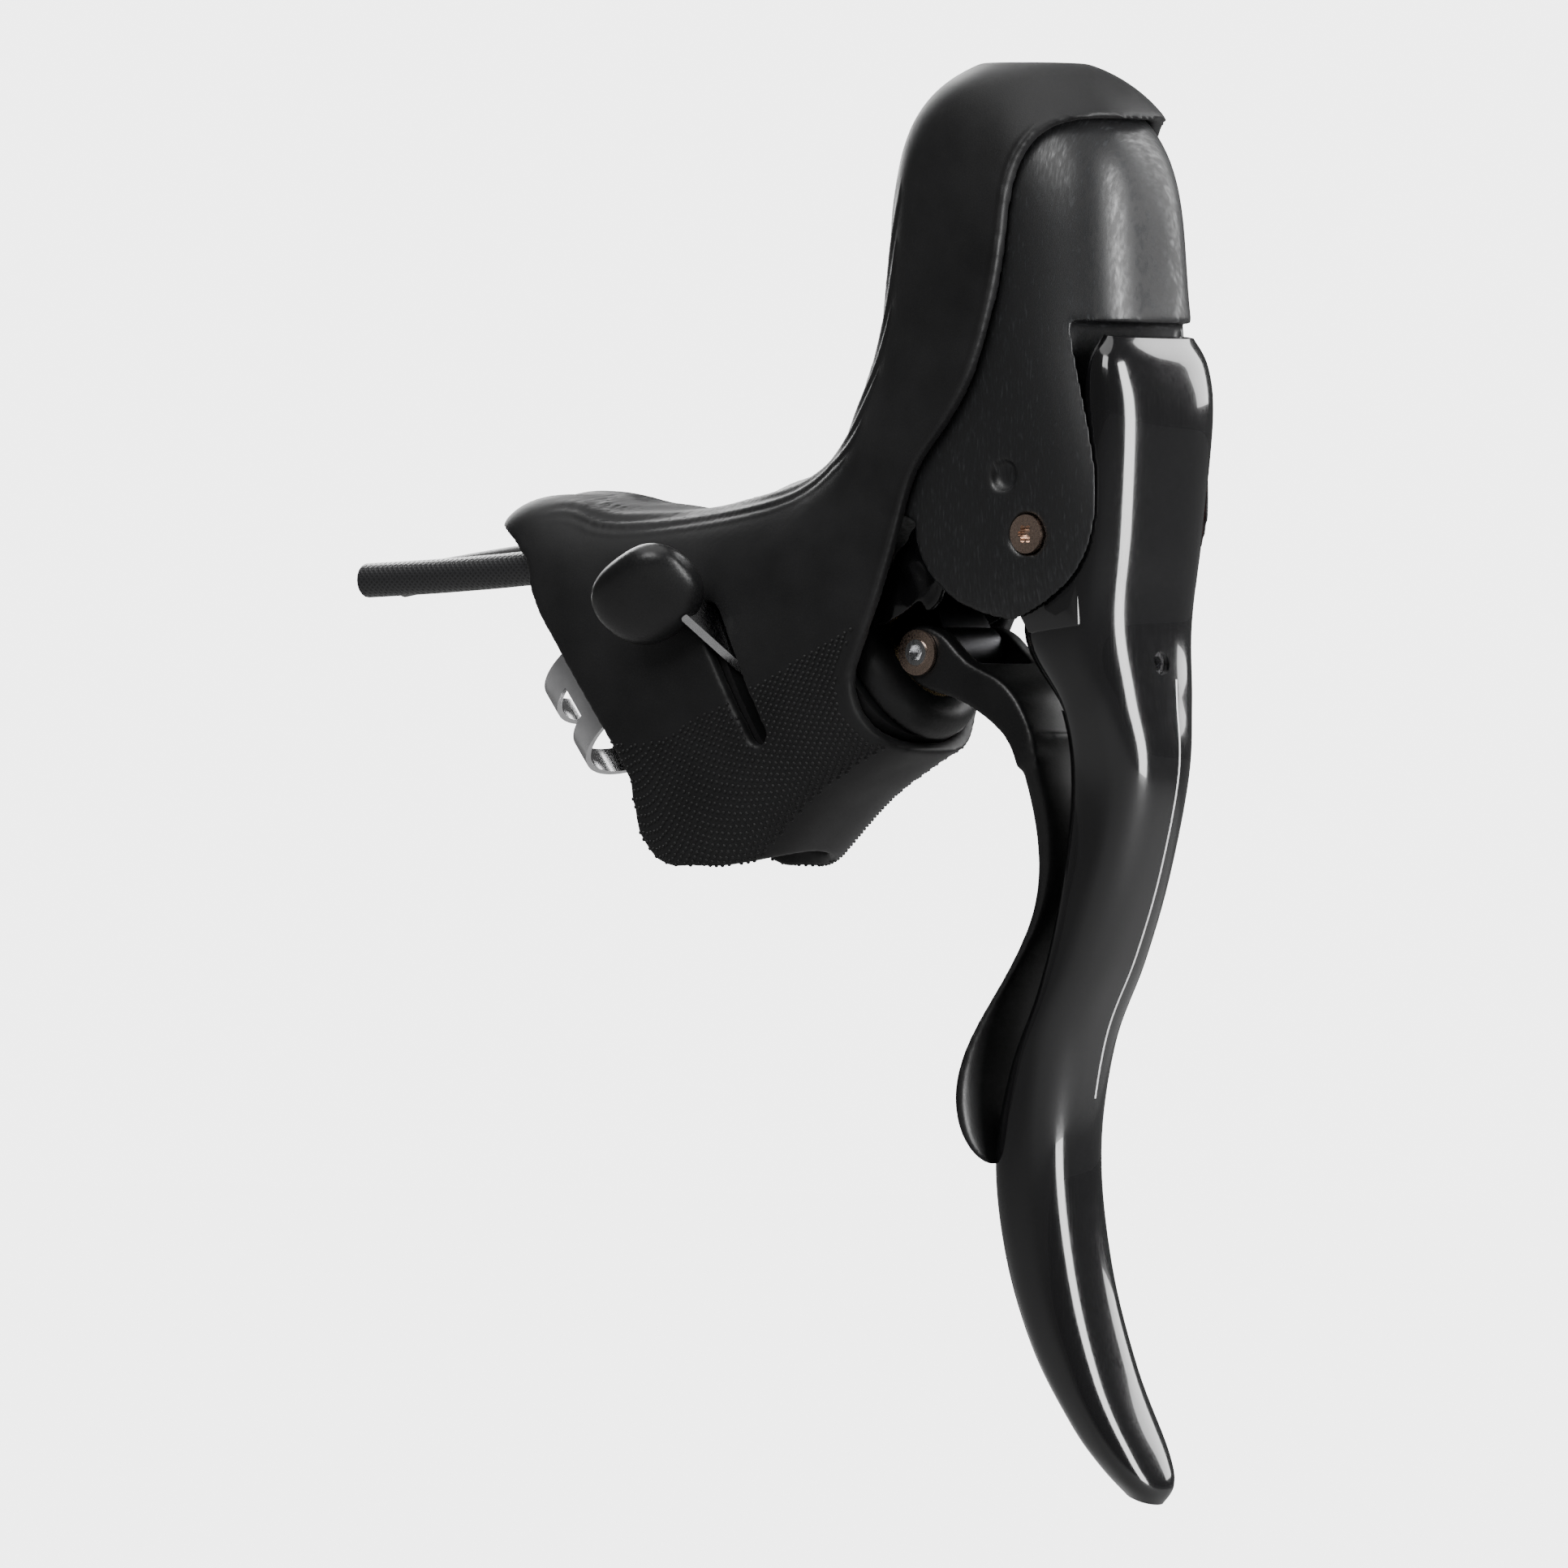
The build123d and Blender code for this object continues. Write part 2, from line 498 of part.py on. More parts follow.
def piston():
    """Piston with two seal grooves and a blind hole for the push rod."""
    body = rod(UPRIGHT, 0, 0, PISTON_LOW, PISTON_HIGH, BORE_R - 0.03)
    body -= rod(UPRIGHT, 0, 0, PISTON_LOW - 1, PISTON_LOW + 2, 1.62)
    for groove in (35.4, 41.2):
        body -= ring(UPRIGHT, 0, 0, groove, groove + 1.4, BORE_R + 1, BORE_R - 1.0)
    return body


def piston_seals():
    seals = [ring(UPRIGHT, 0, 0, z, z + 1.3, BORE_R - 0.03, BORE_R - 1.0) for z in (35.45, 41.25)]
    return Compound(seals)


def piston_spring():
    return coil(UPRIGHT, PISTON_HIGH + 0.7, BORE_HIGH - 0.7, 3.4, 6, 0.5)


# ---- shift mechanism ----------------------------------------------------------------------------------
def shift_shaft():
    shaft = rod(SHIFT, 0, 0, CAVITY_REAR - 1.4, -2.7, SHAFT_R)
    return shaft - ring(SHIFT, 0, 0, -13.1, -12.3, SHAFT_R + 1, SHAFT_R - 0.4)


def shaft_clip():
    """Spring clip in the shaft's groove, open on one side."""
    clip = ring(SHIFT, 0, 0, -13.0, -12.4, SHAFT_R + 1.0, SHAFT_R - 0.35)
    return clip - SHIFT * (Pos(0, 5, -12.7) * Box(2.6, 10, 4))


def mechanism_bearings():
    rear = ring(SHIFT, 0, 0, CAVITY_REAR - 1.4, CAVITY_REAR + 2.6, 3.98, SHAFT_R + 0.02)
    front = ring(SHIFT, 0, 0, CAVITY_FRONT, CAP_FRONT - 0.4, 7.2, 6.24)
    return Compound([rear, front])


def mechanism_cap():
    """Rounded front cover of the shift mechanism; the rocker turns in its middle."""
    cap = rod(SHIFT, 0, 0, CAVITY_FRONT + GAP, CAP_FRONT, 12.2)
    front_edge = cap.edges().sort_by(Axis(SHIFT.origin, SHIFT.z_dir))[-1]
    cap = fillet(front_edge, 3.2)
    cap -= rod(SHIFT, 0, 0, -12, 6, 7.25)
    cap += ring(SHIFT, 0, 0, CAVITY_FRONT - 2.0, CAVITY_FRONT + 1, CAVITY_R - 0.02, 8.6)
    return cap


def cable_drum():
    """Spool for the shift cable with a toothed wheel's seat in front."""
    drum = ring(SHIFT, 0, 0, DRUM_S - 3.0, DRUM_S + 3.0, 8.4, SHAFT_R + 0.05)
    groove = ring(SHIFT, 0, 0, DRUM_S - 0.75, DRUM_S + 0.75, 12, DRUM_R)
    nipple_hole = rod(SHIFT, -3.6, 3.6, DRUM_S - 2.2, DRUM_S + 6, 2.05)
    seat = ring(SHIFT, 0, 0, DRUM_S + 3.0, DRUM_S + 5.4, 4.2, SHAFT_R + 0.05)
    return drum + seat - groove - nipple_hole


def cable_nipple():
    """End of the shift cable in the drum, with the turn of wire that lies in its groove."""
    nipple = rod(SHIFT, -3.6, 3.6, DRUM_S - 2.2, DRUM_S + 2.2, 2.0)
    start, sweep_angle = -45, -170
    arc = SHIFT * (Pos(0, 0, DRUM_S) * CenterArc((0, 0), DRUM_R + WIRE_R + 0.02, start, sweep_angle))
    wire = sweep(Plane(origin=arc @ 0, z_dir=arc % 0) * Circle(WIRE_R), arc)
    return Compound([nipple, wire])


def index_ratchet():
    """Toothed wheel with one tooth for each gear."""
    teeth = 22
    points = []
    for i in range(teeth):
        angle = 2 * pi * i / teeth
        points.append((8.2 * cos(angle), 8.2 * sin(angle)))
        points.append((6.9 * cos(angle + 0.06), 6.9 * sin(angle + 0.06)))
    wheel = SHIFT * (Pos(0, 0, DRUM_S + 3.2) * extrude(make_face(Polyline(*points, close=True)), 2.0))
    return wheel - rod(SHIFT, 0, 0, DRUM_S, DRUM_S + 8, 4.25)


def index_pawl():
    """Latch beside the toothed wheel."""
    outline = [(4.0, 8.6), (6.6, 7.0), (8.5, 2.2), (9.3, 2.6), (8.2, 6.0), (6.2, 8.9), (4.6, 9.0)]
    latch = plate(SHIFT, outline, DRUM_S + 3.3, 1.8)
    latch &= rod(SHIFT, 0, 0, -40, 0, CAVITY_R - 0.1)
    latch -= rod(SHIFT, 0, 0, -40, 0, 8.45)
    return latch


def pawl_pin():
    return rod(SHIFT, 5.6, 7.6, DRUM_S + 5.2, CAVITY_FRONT - 2.2, 0.7)


def drum_spring():
    return coil(SHIFT, DRUM_S - 6.4, DRUM_S - 3.7, 5.2, 3, 0.35)


def thumb_lever_arm():
    """Steel lever of the thumb button, on the mechanism's shaft."""
    hub = ring(SHIFT, 0, 0, THUMB_S - THUMB_T / 2, THUMB_S + THUMB_T / 2, 6.0, SHAFT_R + 0.05)
    arm_frame = SHIFT * Rot(0, 0, 180 - THUMB_UP)
    return hub + plate(arm_frame, [(3.5, -3.2), (32.5, -2.4), (32.5, 2.4), (3.5, 3.2)], THUMB_S - THUMB_T / 2, THUMB_T)


def thumb_button():
    """Rounded plastic paddle for the thumb, moulded round the steel lever's end."""
    faces = []
    for along, half_out, half_thick, out in (
        (-38.4, 1.6, 1.0, 31.4), (-37.0, 5.0, 2.6, 31.4), (-33.5, 7.0, 3.5, 31.5), (-29.0, 7.2, 3.7, 31.8),
        (-25.0, 6.4, 3.3, 32.2), (-22.4, 4.2, 2.2, 32.6), (-21.4, 1.4, 0.9, 32.8),
    ):
        points = []
        for i in range(16):
            angle = 2 * pi * i / 16
            points.append((out + half_out * power(cos(angle), 0.85), half_thick * power(sin(angle), 0.85)))
        faces.append(Pos(0, 0, along) * make_face(Spline(*points, periodic=True)))
    body = SHIFT * (Rot(0, 0, 180 - THUMB_UP) * loft(faces))
    return body - thumb_lever_arm()


def thumb_spring():
    return coil(SHIFT, THUMB_S - 3.8, THUMB_S - 1.3, 5.2, 3, 0.35)


def paddle_rocker():
    """Turning head of the mechanism; it carries the paddle's pin."""
    hub = rod(SHIFT, 0, 0, -12.2, -4.9, 6.2)
    hub += rod(SHIFT, 0, 0, -5.2, 1.0, 6.2) & Pos(PIN_X, 0, PIN_Z) * Box(40, 2 * ROCKER_HALF, 40)
    hub += cross(PIN_X, PIN_Z, -ROCKER_HALF, ROCKER_HALF, 3.9)
    hub += (rod(SHIFT, 0, 0, 0.8, 3.0, 5.4) & Pos(PIN_X, 0, PIN_Z) * Box(30, 2 * ROCKER_HALF, 30))
    hub -= rod(SHIFT, 0, 0, -14, -2.6, SHAFT_R + 0.04)
    return hub - cross(PIN_X, PIN_Z, -20, 20, PIN_R + 0.02)


def paddle_pin():
    """Hollow rivet with a hex socket that the paddle folds on."""
    pin = cross(PIN_X, PIN_Z, -PADDLE_HALF - 0.9, PADDLE_HALF + 0.4, PIN_R)
    return pin - hex_rod(side_plane(PIN_X, PIN_Z), 0, 0, -PADDLE_HALF - 2, -PADDLE_HALF + 1.2, 1.05)


def pin_washer():
    return ring(side_plane(PIN_X, PIN_Z), 0, 0, -PADDLE_HALF - 0.7, -PADDLE_HALF - GAP, 3.25, PIN_R + 0.02)


def shift_paddle():
    """Paddle behind the brake lever: a fork on the pin, an arm that goes down and a pad for the fingers."""
    head = [
        Spline((PIN_X - 3.9, PIN_Z - 0.5), (PIN_X - 1.0, PIN_Z + 3.8), (PIN_X + 4.0, PIN_Z + 2.6), (66.0, 3.4),
               (72.0, 0.6), (76.6, -4.4), (78.6, -11.0)),
        Polyline((78.6, -11.0), (75.0, -12.2)),
        Spline((75.0, -12.2), (73.0, -7.8), (69.0, -4.6), (63.4, -2.0), (58.4, -0.6), (PIN_X - 3.9, PIN_Z - 0.5)),
    ]
    fork = slab(head, -PADDLE_HALF, PADDLE_HALF)
    room = cross(PIN_X, PIN_Z, -ROCKER_HALF - 0.25, ROCKER_HALF + 0.25, 8.6)
    arm = loft([oval(rear, front, half, square, y_mid) for rear, front, half, y_mid, square in (
        ((74.0, -8.6), (78.4, -7.2), PADDLE_HALF, 0.0, 5.0),
        ((75.6, -16.0), (79.0, -15.4), 7.8, 0.0, 3.8),
        ((74.4, -26.0), (77.6, -24.8), 6.0, 0.0, 3.2),
        ((71.2, -36.0), (74.0, -34.4), 5.8, -0.2, 3.0),
        ((66.6, -45.0), (69.2, -43.2), 6.8, -0.8, 3.0),
        ((62.8, -53.0), (65.2, -52.0), 7.8, -1.6, 3.0),
        ((61.8, -61.0), (64.2, -61.2), 7.4, -2.2, 2.8),
        ((62.8, -65.6), (64.8, -66.2), 5.4, -2.4, 2.4),
        ((63.8, -67.8), (65.2, -68.2), 2.4, -2.5, 2.2),
    )])
    whole = fork + arm - room
    return whole - cross(PIN_X, PIN_Z, -20, 20, PIN_R + 0.05)


def mechanism_boot():
    """Folded rubber boot that closes the gap between the hood and the cylinder's cheeks."""
    outer = smooth((51.6, 9.6), (56.0, 18.4), (61.2, 25.0), (63.8, 28.2), (66.6, 26.4), (66.8, 20.0), (63.4, 12.0),
                   (57.2, 8.6))
    wall = slab(outer, -12.5, -11.3)
    wall += slab(outer, 11.3, 12.5)
    return wall - rod(SHIFT, 0, 0, -12, 6, 12.5)


# ---- hose and cable -----------------------------------------------------------------------------------
HOSE_AXIS = Plane(origin=(0, -CORD_Y, HOSE_Z), x_dir=(0, 1, 0), z_dir=(1, 0, 0))
CABLE_AXIS = Plane(origin=(0, CORD_Y, CABLE_Z), x_dir=(0, 1, 0), z_dir=(1, 0, 0))


def hose_nut():
    nut = rod(HOSE_AXIS, 0, 0, 37.0, 44.0, 2.82) + hex_rod(HOSE_AXIS, 0, 0, 31.5, 38.5, 2.95)
    nut &= rod(HOSE_AXIS, 0, 0, 30, 50, 3.25)
    return nut - rod(HOSE_AXIS, 0, 0, 20, 50, HOSE_R + 0.02)


def hose_olive():
    return ring(HOSE_AXIS, 0, 0, 44.2, 46.6, 2.8, 1.3)


def hose_insert():
    return ring(HOSE_AXIS, 0, 0, 33.0, 44.1, HOSE_BORE - 0.01, 0.75)


def housing_ferrule():
    cap = ring(CABLE_AXIS, 0, 0, 8.0, 17.0, 2.7, HOUSING_R + 0.02)
    cap -= rod(CABLE_AXIS, 0, 0, 16.0, 20, 1.0)
    return cap + ring(CABLE_AXIS, 0, 0, 15.05, 17.0, 2.7, 1.0)


# ---- every node ---------------------------------------------------------------------------------------
NODES = [
    bracket_body, cylinder_housing, rubber_hood, clamp_band, clamp_yoke, clamp_bolt, reservoir_cap, cover_screws,
    bleed_screw, reservoir_bladder, cylinder_plug, plug_seal, brake_lever, reach_adjust_screw, lever_bushes,
    lever_pivot_pin, pivot_screw, lever_return_spring, push_rod, piston, piston_seals, piston_spring,
    shift_shaft, shaft_clip, mechanism_bearings, mechanism_cap, cable_drum, cable_nipple, index_ratchet,
    index_pawl, pawl_pin, drum_spring, thumb_lever_arm, thumb_button, thumb_spring, paddle_rocker, paddle_pin,
    pin_washer, shift_paddle, mechanism_boot, hose_nut, hose_olive, hose_insert, housing_ferrule,
]

if __name__ == "__main__":
    os.makedirs("parts", exist_ok=True)
    for make in NODES:
        export_step(make(), f"parts/{make.__name__}.step")
    export_step(hose_tube(HOSE_ROUTE, HOSE_R, HOSE_BORE), "parts/brake_hose.step")
    export_step(hose_tube(HOUSING_ROUTE, HOUSING_R, HOUSING_BORE), "parts/cable_housing.step")
    export_step(hose_tube(WIRE_START + HOUSING_ROUTE[1:], WIRE_R, 0), "parts/shift_cable.step")
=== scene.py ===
"""Looks of a left-hand hydraulic brake and shift lever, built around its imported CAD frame. Metres, +Z up."""
import json
import math

import bmesh
import bpy
from mathutils import Matrix, Vector
from mathutils.bvhtree import BVHTree
from mathutils.kdtree import KDTree


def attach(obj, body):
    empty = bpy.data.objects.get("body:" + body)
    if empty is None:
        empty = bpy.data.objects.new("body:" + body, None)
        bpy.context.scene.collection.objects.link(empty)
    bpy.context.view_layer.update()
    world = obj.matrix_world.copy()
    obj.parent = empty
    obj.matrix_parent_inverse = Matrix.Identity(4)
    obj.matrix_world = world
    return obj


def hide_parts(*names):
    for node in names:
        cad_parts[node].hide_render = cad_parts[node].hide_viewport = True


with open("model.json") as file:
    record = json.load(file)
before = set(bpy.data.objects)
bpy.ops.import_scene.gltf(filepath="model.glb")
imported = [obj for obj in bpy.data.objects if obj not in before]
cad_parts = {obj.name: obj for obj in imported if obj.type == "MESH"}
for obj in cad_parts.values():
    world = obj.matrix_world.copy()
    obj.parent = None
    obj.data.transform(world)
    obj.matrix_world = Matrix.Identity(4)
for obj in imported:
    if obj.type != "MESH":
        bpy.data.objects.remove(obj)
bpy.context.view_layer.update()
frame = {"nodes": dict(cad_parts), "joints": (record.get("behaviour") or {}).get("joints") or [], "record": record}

MM = 0.001
NODES = frame["nodes"]
JOINTS = {j["name"]: j for j in frame["joints"]}
PIVOT = Vector(JOINTS["brake_pull"]["pos_m"])

# ---- camera, the side of the photograph ---------------------------------------------------------------
VIEW_AZIMUTH = math.radians(39.0)
VIEW_DISTANCE = 3.0
FRAME_WIDTH = 0.2255  # what the picture spans at the object
VIEW_U, VIEW_V = 0.0201, -0.0142  # the picture's middle, right of and above the origin
BACKDROP = 4.5  # how bright the backdrop looks
ROOM = 0.08  # how much light the room sends to the surfaces


def add_camera():
    data = bpy.data.cameras.new("camera")
    data.sensor_width = 36.0
    data.lens = 36.0 * VIEW_DISTANCE / FRAME_WIDTH
    data.clip_start, data.clip_end = 0.01, 20.0
    camera = bpy.data.objects.new("camera", data)
    bpy.context.scene.collection.objects.link(camera)
    right = Vector((math.cos(VIEW_AZIMUTH), math.sin(VIEW_AZIMUTH), 0))
    towards = Vector((math.sin(VIEW_AZIMUTH), -math.cos(VIEW_AZIMUTH), 0))
    target = right * VIEW_U + Vector((0, 0, VIEW_V))
    camera.location = target + towards * VIEW_DISTANCE
    camera.rotation_euler = (-towards).to_track_quat("-Z", "Y").to_euler()
    bpy.context.scene.camera = camera


# ---- materials ----------------------------------------------------------------------------------------
def new_material(
    name, colour, roughness, metallic=0.0, coat=0.0, coat_roughness=0.05, specular=0.5, sheen=0.0
):
    material = bpy.data.materials.new(name)
    material.use_nodes = True
    shader = material.node_tree.nodes["Principled BSDF"]
    shader.inputs["Base Color"].default_value = (*colour, 1)
    shader.inputs["Roughness"].default_value = roughness
    shader.inputs["Metallic"].default_value = metallic
    shader.inputs["Coat Weight"].default_value = coat
    shader.inputs["Coat Roughness"].default_value = coat_roughness
    shader.inputs["Specular IOR Level"].default_value = specular
    shader.inputs["Sheen Weight"].default_value = sheen
    return material, material.node_tree, shader


def add_node(tree, kind, **values):
    node = tree.nodes.new(kind)
    for key, value in values.items():
        if key in node.inputs:
            node.inputs[key].default_value = value
        else:
            setattr(node, key, value)
    return node


def coordinates(tree, scale=(1, 1, 1), rotation=(0, 0, 0)):
    place = add_node(tree, "ShaderNodeTexCoord")
    mapping = add_node(tree, "ShaderNodeMapping", Scale=scale, Rotation=rotation)
    tree.links.new(place.outputs["Object"], mapping.inputs["Vector"])
    return mapping.outputs["Vector"]


def noise(tree, scale, detail=3.0, roughness=0.5, vector=None):
    node = add_node(tree, "ShaderNodeTexNoise", Scale=scale, Detail=detail, Roughness=roughness)
    tree.links.new(vector or coordinates(tree), node.inputs["Vector"])
    return node.outputs["Fac"]


def ramp(tree, value, stops):
    """A colour ramp; stops are (position, colour or grey)."""
    node = add_node(tree, "ShaderNodeValToRGB")
    elements = node.color_ramp.elements
    while len(elements) < len(stops):
        elements.new(0.5)
    for element, (position, colour) in zip(elements, stops):
        element.position = position
        element.color = (*colour, 1) if isinstance(colour, tuple) else (colour, colour, colour, 1)
    tree.links.new(value, node.inputs["Fac"])
    return node.outputs["Color"]


def bump(tree, shader, height, strength, distance, below=None):
    node = add_node(tree, "ShaderNodeBump", Strength=strength, Distance=distance)
    tree.links.new(height, node.inputs["Height"])
    if below is not None:
        tree.links.new(below, node.inputs["Normal"])
    tree.links.new(node.outputs["Normal"], shader.inputs["Normal"])
    return node.outputs["Normal"]


def math_node(tree, operation, a, b=None):
    node = add_node(tree, "ShaderNodeMath", operation=operation)
    for socket, value in zip(node.inputs, (a, b)):
        if value is None:
            continue
        if isinstance(value, (int, float)):
            socket.default_value = value
        else:
            tree.links.new(value, socket)
    return node.outputs["Value"]


def rubber_material():
    """Soft matt hood rubber with a fine grain and faint dust in it."""
    material, tree, shader = new_material(
        "hood_rubber_look", (0.008, 0.008, 0.0085), 0.5, specular=0.4, sheen=0.02
    )
    shader.inputs["Sheen Roughness"].default_value = 0.5
    grain = noise(tree, 5200, 2.0)
    cloud = noise(tree, 90, 4.0)
    tint = ramp(tree, cloud, ((0.3, (0.006, 0.006, 0.0064)), (0.7, (0.011, 0.011, 0.0116))))
    tree.links.new(tint, shader.inputs["Base Color"])
    tree.links.new(ramp(tree, cloud, ((0.3, 0.46), (0.75, 0.60))), shader.inputs["Roughness"])
    bump(tree, shader, grain, 0.25, 0.00006)
    return material


def fibre_material():
    """Lacquered chopped-fibre composite: short bright strands under a clear coat."""
    material, tree, shader = new_material(
        "fibre_look", (0.012, 0.012, 0.013), 0.44, coat=0.12, coat_roughness=0.3
    )
    strands = []
    for turn in (0.5, -0.7, 1.35):
        where = coordinates(tree, (3000, 520, 520), (turn * 0.4, turn, turn * 0.8))
        strands.append(noise(tree, 1.0, 1.0, 0.5, where))
    most = math_node(tree, "MAXIMUM", math_node(tree, "MAXIMUM", strands[0], strands[1]), strands[2])
    stops = ((0.50, (0.007, 0.007, 0.0075)), (0.66, (0.014, 0.0145, 0.0155)), (0.78, (0.034, 0.035, 0.037)))
    tint = ramp(tree, most, stops)
    tree.links.new(tint, shader.inputs["Base Color"])
    tree.links.new(ramp(tree, most, ((0.5, 0.5), (0.75, 0.3))), shader.inputs["Roughness"])
    bump(tree, shader, most, 0.12, 0.00005)
    return material


def gloss_material(name="blade_look", colour=(0.006, 0.006, 0.0065)):
    """Deep black lacquer with a trace of orange peel and hairlines."""
    material, tree, shader = new_material(name, colour, 0.16, coat=1.0, coat_roughness=0.03)
    peel = noise(tree, 700, 2.0)
    hairlines = noise(tree, 1.0, 2.0, 0.6, coordinates(tree, (5200, 5200, 120)))
    tree.links.new(ramp(tree, hairlines, ((0.35, 0.12), (0.8, 0.24))), shader.inputs["Roughness"])
    bump(tree, shader, peel, 0.03, 0.00005)
    return material


def matt_plastic(name, colour, roughness=0.42, grain_scale=2600, grain=0.3):
    material, tree, shader = new_material(name, colour, roughness, specular=0.45)
    fine = noise(tree, grain_scale, 3.0)
    cloud = noise(tree, 140, 3.0)
    dark, light = tuple(c * 0.75 for c in colour), tuple(c * 1.3 for c in colour)
    tree.links.new(ramp(tree, cloud, ((0.3, dark), (0.7, light))), shader.inputs["Base Color"])
    gloss = ramp(tree, fine, ((0.3, roughness - 0.06), (0.7, roughness + 0.08)))
    tree.links.new(gloss, shader.inputs["Roughness"])
    bump(tree, shader, fine, grain, 0.00005)
    return material


def metal(name, colour, roughness, streak=(1, 1, 1), depth=0.15):
    """Metal with streaks left by machining or polishing along one way."""
    material, tree, shader = new_material(name, colour, roughness, metallic=1.0)
    lines = noise(tree, 1.0, 3.0, 0.6, coordinates(tree, tuple(900 * s for s in streak)))
    gloss = ramp(tree, lines, ((0.3, max(0.04, roughness - 0.08)), (0.8, roughness + 0.12)))
    tree.links.new(gloss, shader.inputs["Roughness"])
    worn = noise(tree, 260, 3.0)
    dark = tuple(c * 0.8 for c in colour)
    tree.links.new(ramp(tree, worn, ((0.25, dark), (0.7, colour))), shader.inputs["Base Color"])
    bump(tree, shader, lines, depth, 0.00004)
    return material


def braid_material():
    """Hose jacket whose crossed weave shows faintly through the rubber."""
    material, tree, shader = new_material("hose_look", (0.018, 0.018, 0.019), 0.38, specular=0.5)
    bands = []
    for turn in (0.9, -0.9):
        wave = add_node(tree, "ShaderNodeTexWave", Scale=520.0, Distortion=0.6, Detail=1.0)
        wave.bands_direction = "X"
        tree.links.new(coordinates(tree, (1, 1, 1), (0, turn, 0)), wave.inputs["Vector"])
        bands.append(wave.outputs["Fac"])
    weave = math_node(tree, "MAXIMUM", bands[0], bands[1])
    tree.links.new(ramp(tree, weave, ((0.2, 0.5), (0.9, 0.3))), shader.inputs["Roughness"])
    tint = ramp(tree, weave, ((0.2, (0.010, 0.010, 0.011)), (0.95, (0.034, 0.034, 0.036))))
    tree.links.new(tint, shader.inputs["Base Color"])
    bump(tree, shader, weave, 0.35, 0.00012)
    return material


def paint_material(name, colour):
    """Printed line on the blade, slightly uneven at its grain."""
    material, tree, shader = new_material(name, colour, 0.3, coat=0.6)
    worn = noise(tree, 1500, 2.0)
    dark = tuple(c * 0.85 for c in colour)
    tree.links.new(ramp(tree, worn, ((0.35, dark), (0.65, colour))), shader.inputs["Base Color"])
    return material


LOOKS = {
    "hood_rubber": rubber_material(),
    "horn_gloss": fibre_material(),
    "body_plastic": matt_plastic("body_look", (0.011, 0.011, 0.0115), 0.42),
    "blade_gloss": gloss_material(),
    "paddle_matt": matt_plastic("paddle_look", (0.007, 0.007, 0.0073), 0.38, 3600, 0.2),
    "thumb_plastic": matt_plastic("thumb_look", (0.008, 0.008, 0.0084), 0.34, 3000, 0.4),
    "polished_steel": metal("strap_look", (0.78, 0.78, 0.79), 0.16, (0.2, 6, 0.2)),
    "bright_steel": metal("steel_look", (0.60, 0.60, 0.61), 0.26, (4, 4, 0.5)),
    "black_steel": metal("black_steel_look", (0.07, 0.07, 0.075), 0.38, (3, 3, 3)),
    "spring_steel": metal("spring_look", (0.42, 0.43, 0.45), 0.3, (2, 2, 2)),
    "bronze": metal("bronze_look", (0.66, 0.50, 0.41), 0.28, (5, 0.5, 5)),
    "brass": metal("brass_look", (0.74, 0.56, 0.28), 0.3, (3, 3, 3)),
    "alloy": metal("alloy_look", (0.66, 0.67, 0.69), 0.32, (0.5, 0.5, 8)),
    "seal_rubber": matt_plastic("seal_look", (0.012, 0.012, 0.0125), 0.5, 1800),
    "boot_rubber": matt_plastic("boot_look", (0.006, 0.006, 0.0064), 0.16, 900, 0.2),
    "hose_black": braid_material(),
    "housing_black": matt_plastic("housing_look", (0.016, 0.016, 0.0165), 0.4, 2400, 0.25),
}
SLOT_OF = {part["node"]: part["material_slot"] for part in frame["record"]["subparts"]}


def dress_cad_nodes():
    for name, node in NODES.items():
        node.data.materials.clear()
        node.data.materials.append(LOOKS[SLOT_OF[name]])


# ---- making pieces ------------------------------------------------------------------------------------
def put(name, mesh, body, look, slot, *replaced):
    """Adds a finished piece to the scene, on its body."""
    piece = bpy.data.objects.new(name, mesh)
    bpy.context.scene.collection.objects.link(piece)
    mesh.materials.clear()
    mesh.materials.append(look if look else LOOKS[slot])
    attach(piece, body)
    if replaced:
        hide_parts(*replaced)
    return piece


def shade_smooth(mesh, angle=math.radians(40)):
    """Smooth shading, but for edges sharper than the angle."""
    work = bmesh.new()
    work.from_mesh(mesh)
    for face in work.faces:
        face.smooth = True
    for edge in work.edges:
        if len(edge.link_faces) == 2:
            edge.smooth = edge.calc_face_angle(0) < angle
    work.to_mesh(mesh)
    work.free()


def applied(mesh, *modifiers):
    """The mesh with modifiers worked in; each is (type, settings)."""
    holder = bpy.data.objects.new("holder", mesh)
    bpy.context.scene.collection.objects.link(holder)
    for number, (kind, settings) in enumerate(modifiers):
        modifier = holder.modifiers.new(f"step{number}", kind)
        for key, value in settings.items():
            setattr(modifier, key, value)
    bpy.context.view_layer.update()
    evaluated = holder.evaluated_get(bpy.context.evaluated_depsgraph_get())
    result = bpy.data.meshes.new_from_object(evaluated)
    bpy.data.objects.remove(holder)
    return result


def softened(node, voxel, rounds, *trims):
    """A copy of a CAD node's shape as an even skin with rounded edges, for moulded pieces."""
    copy = cut(NODES[node].data.copy(), *trims)
    smoothing = {"iterations": rounds, "use_only_smooth": True, "smooth_type": "LENGTH_WEIGHTED"}
    return applied(
        copy,
        ("REMESH", {"mode": "VOXEL", "voxel_size": voxel, "use_smooth_shade": True}),
        ("CORRECTIVE_SMOOTH", smoothing),
    )


def power(value, exponent):
    return math.copysign(abs(value) ** exponent, value)


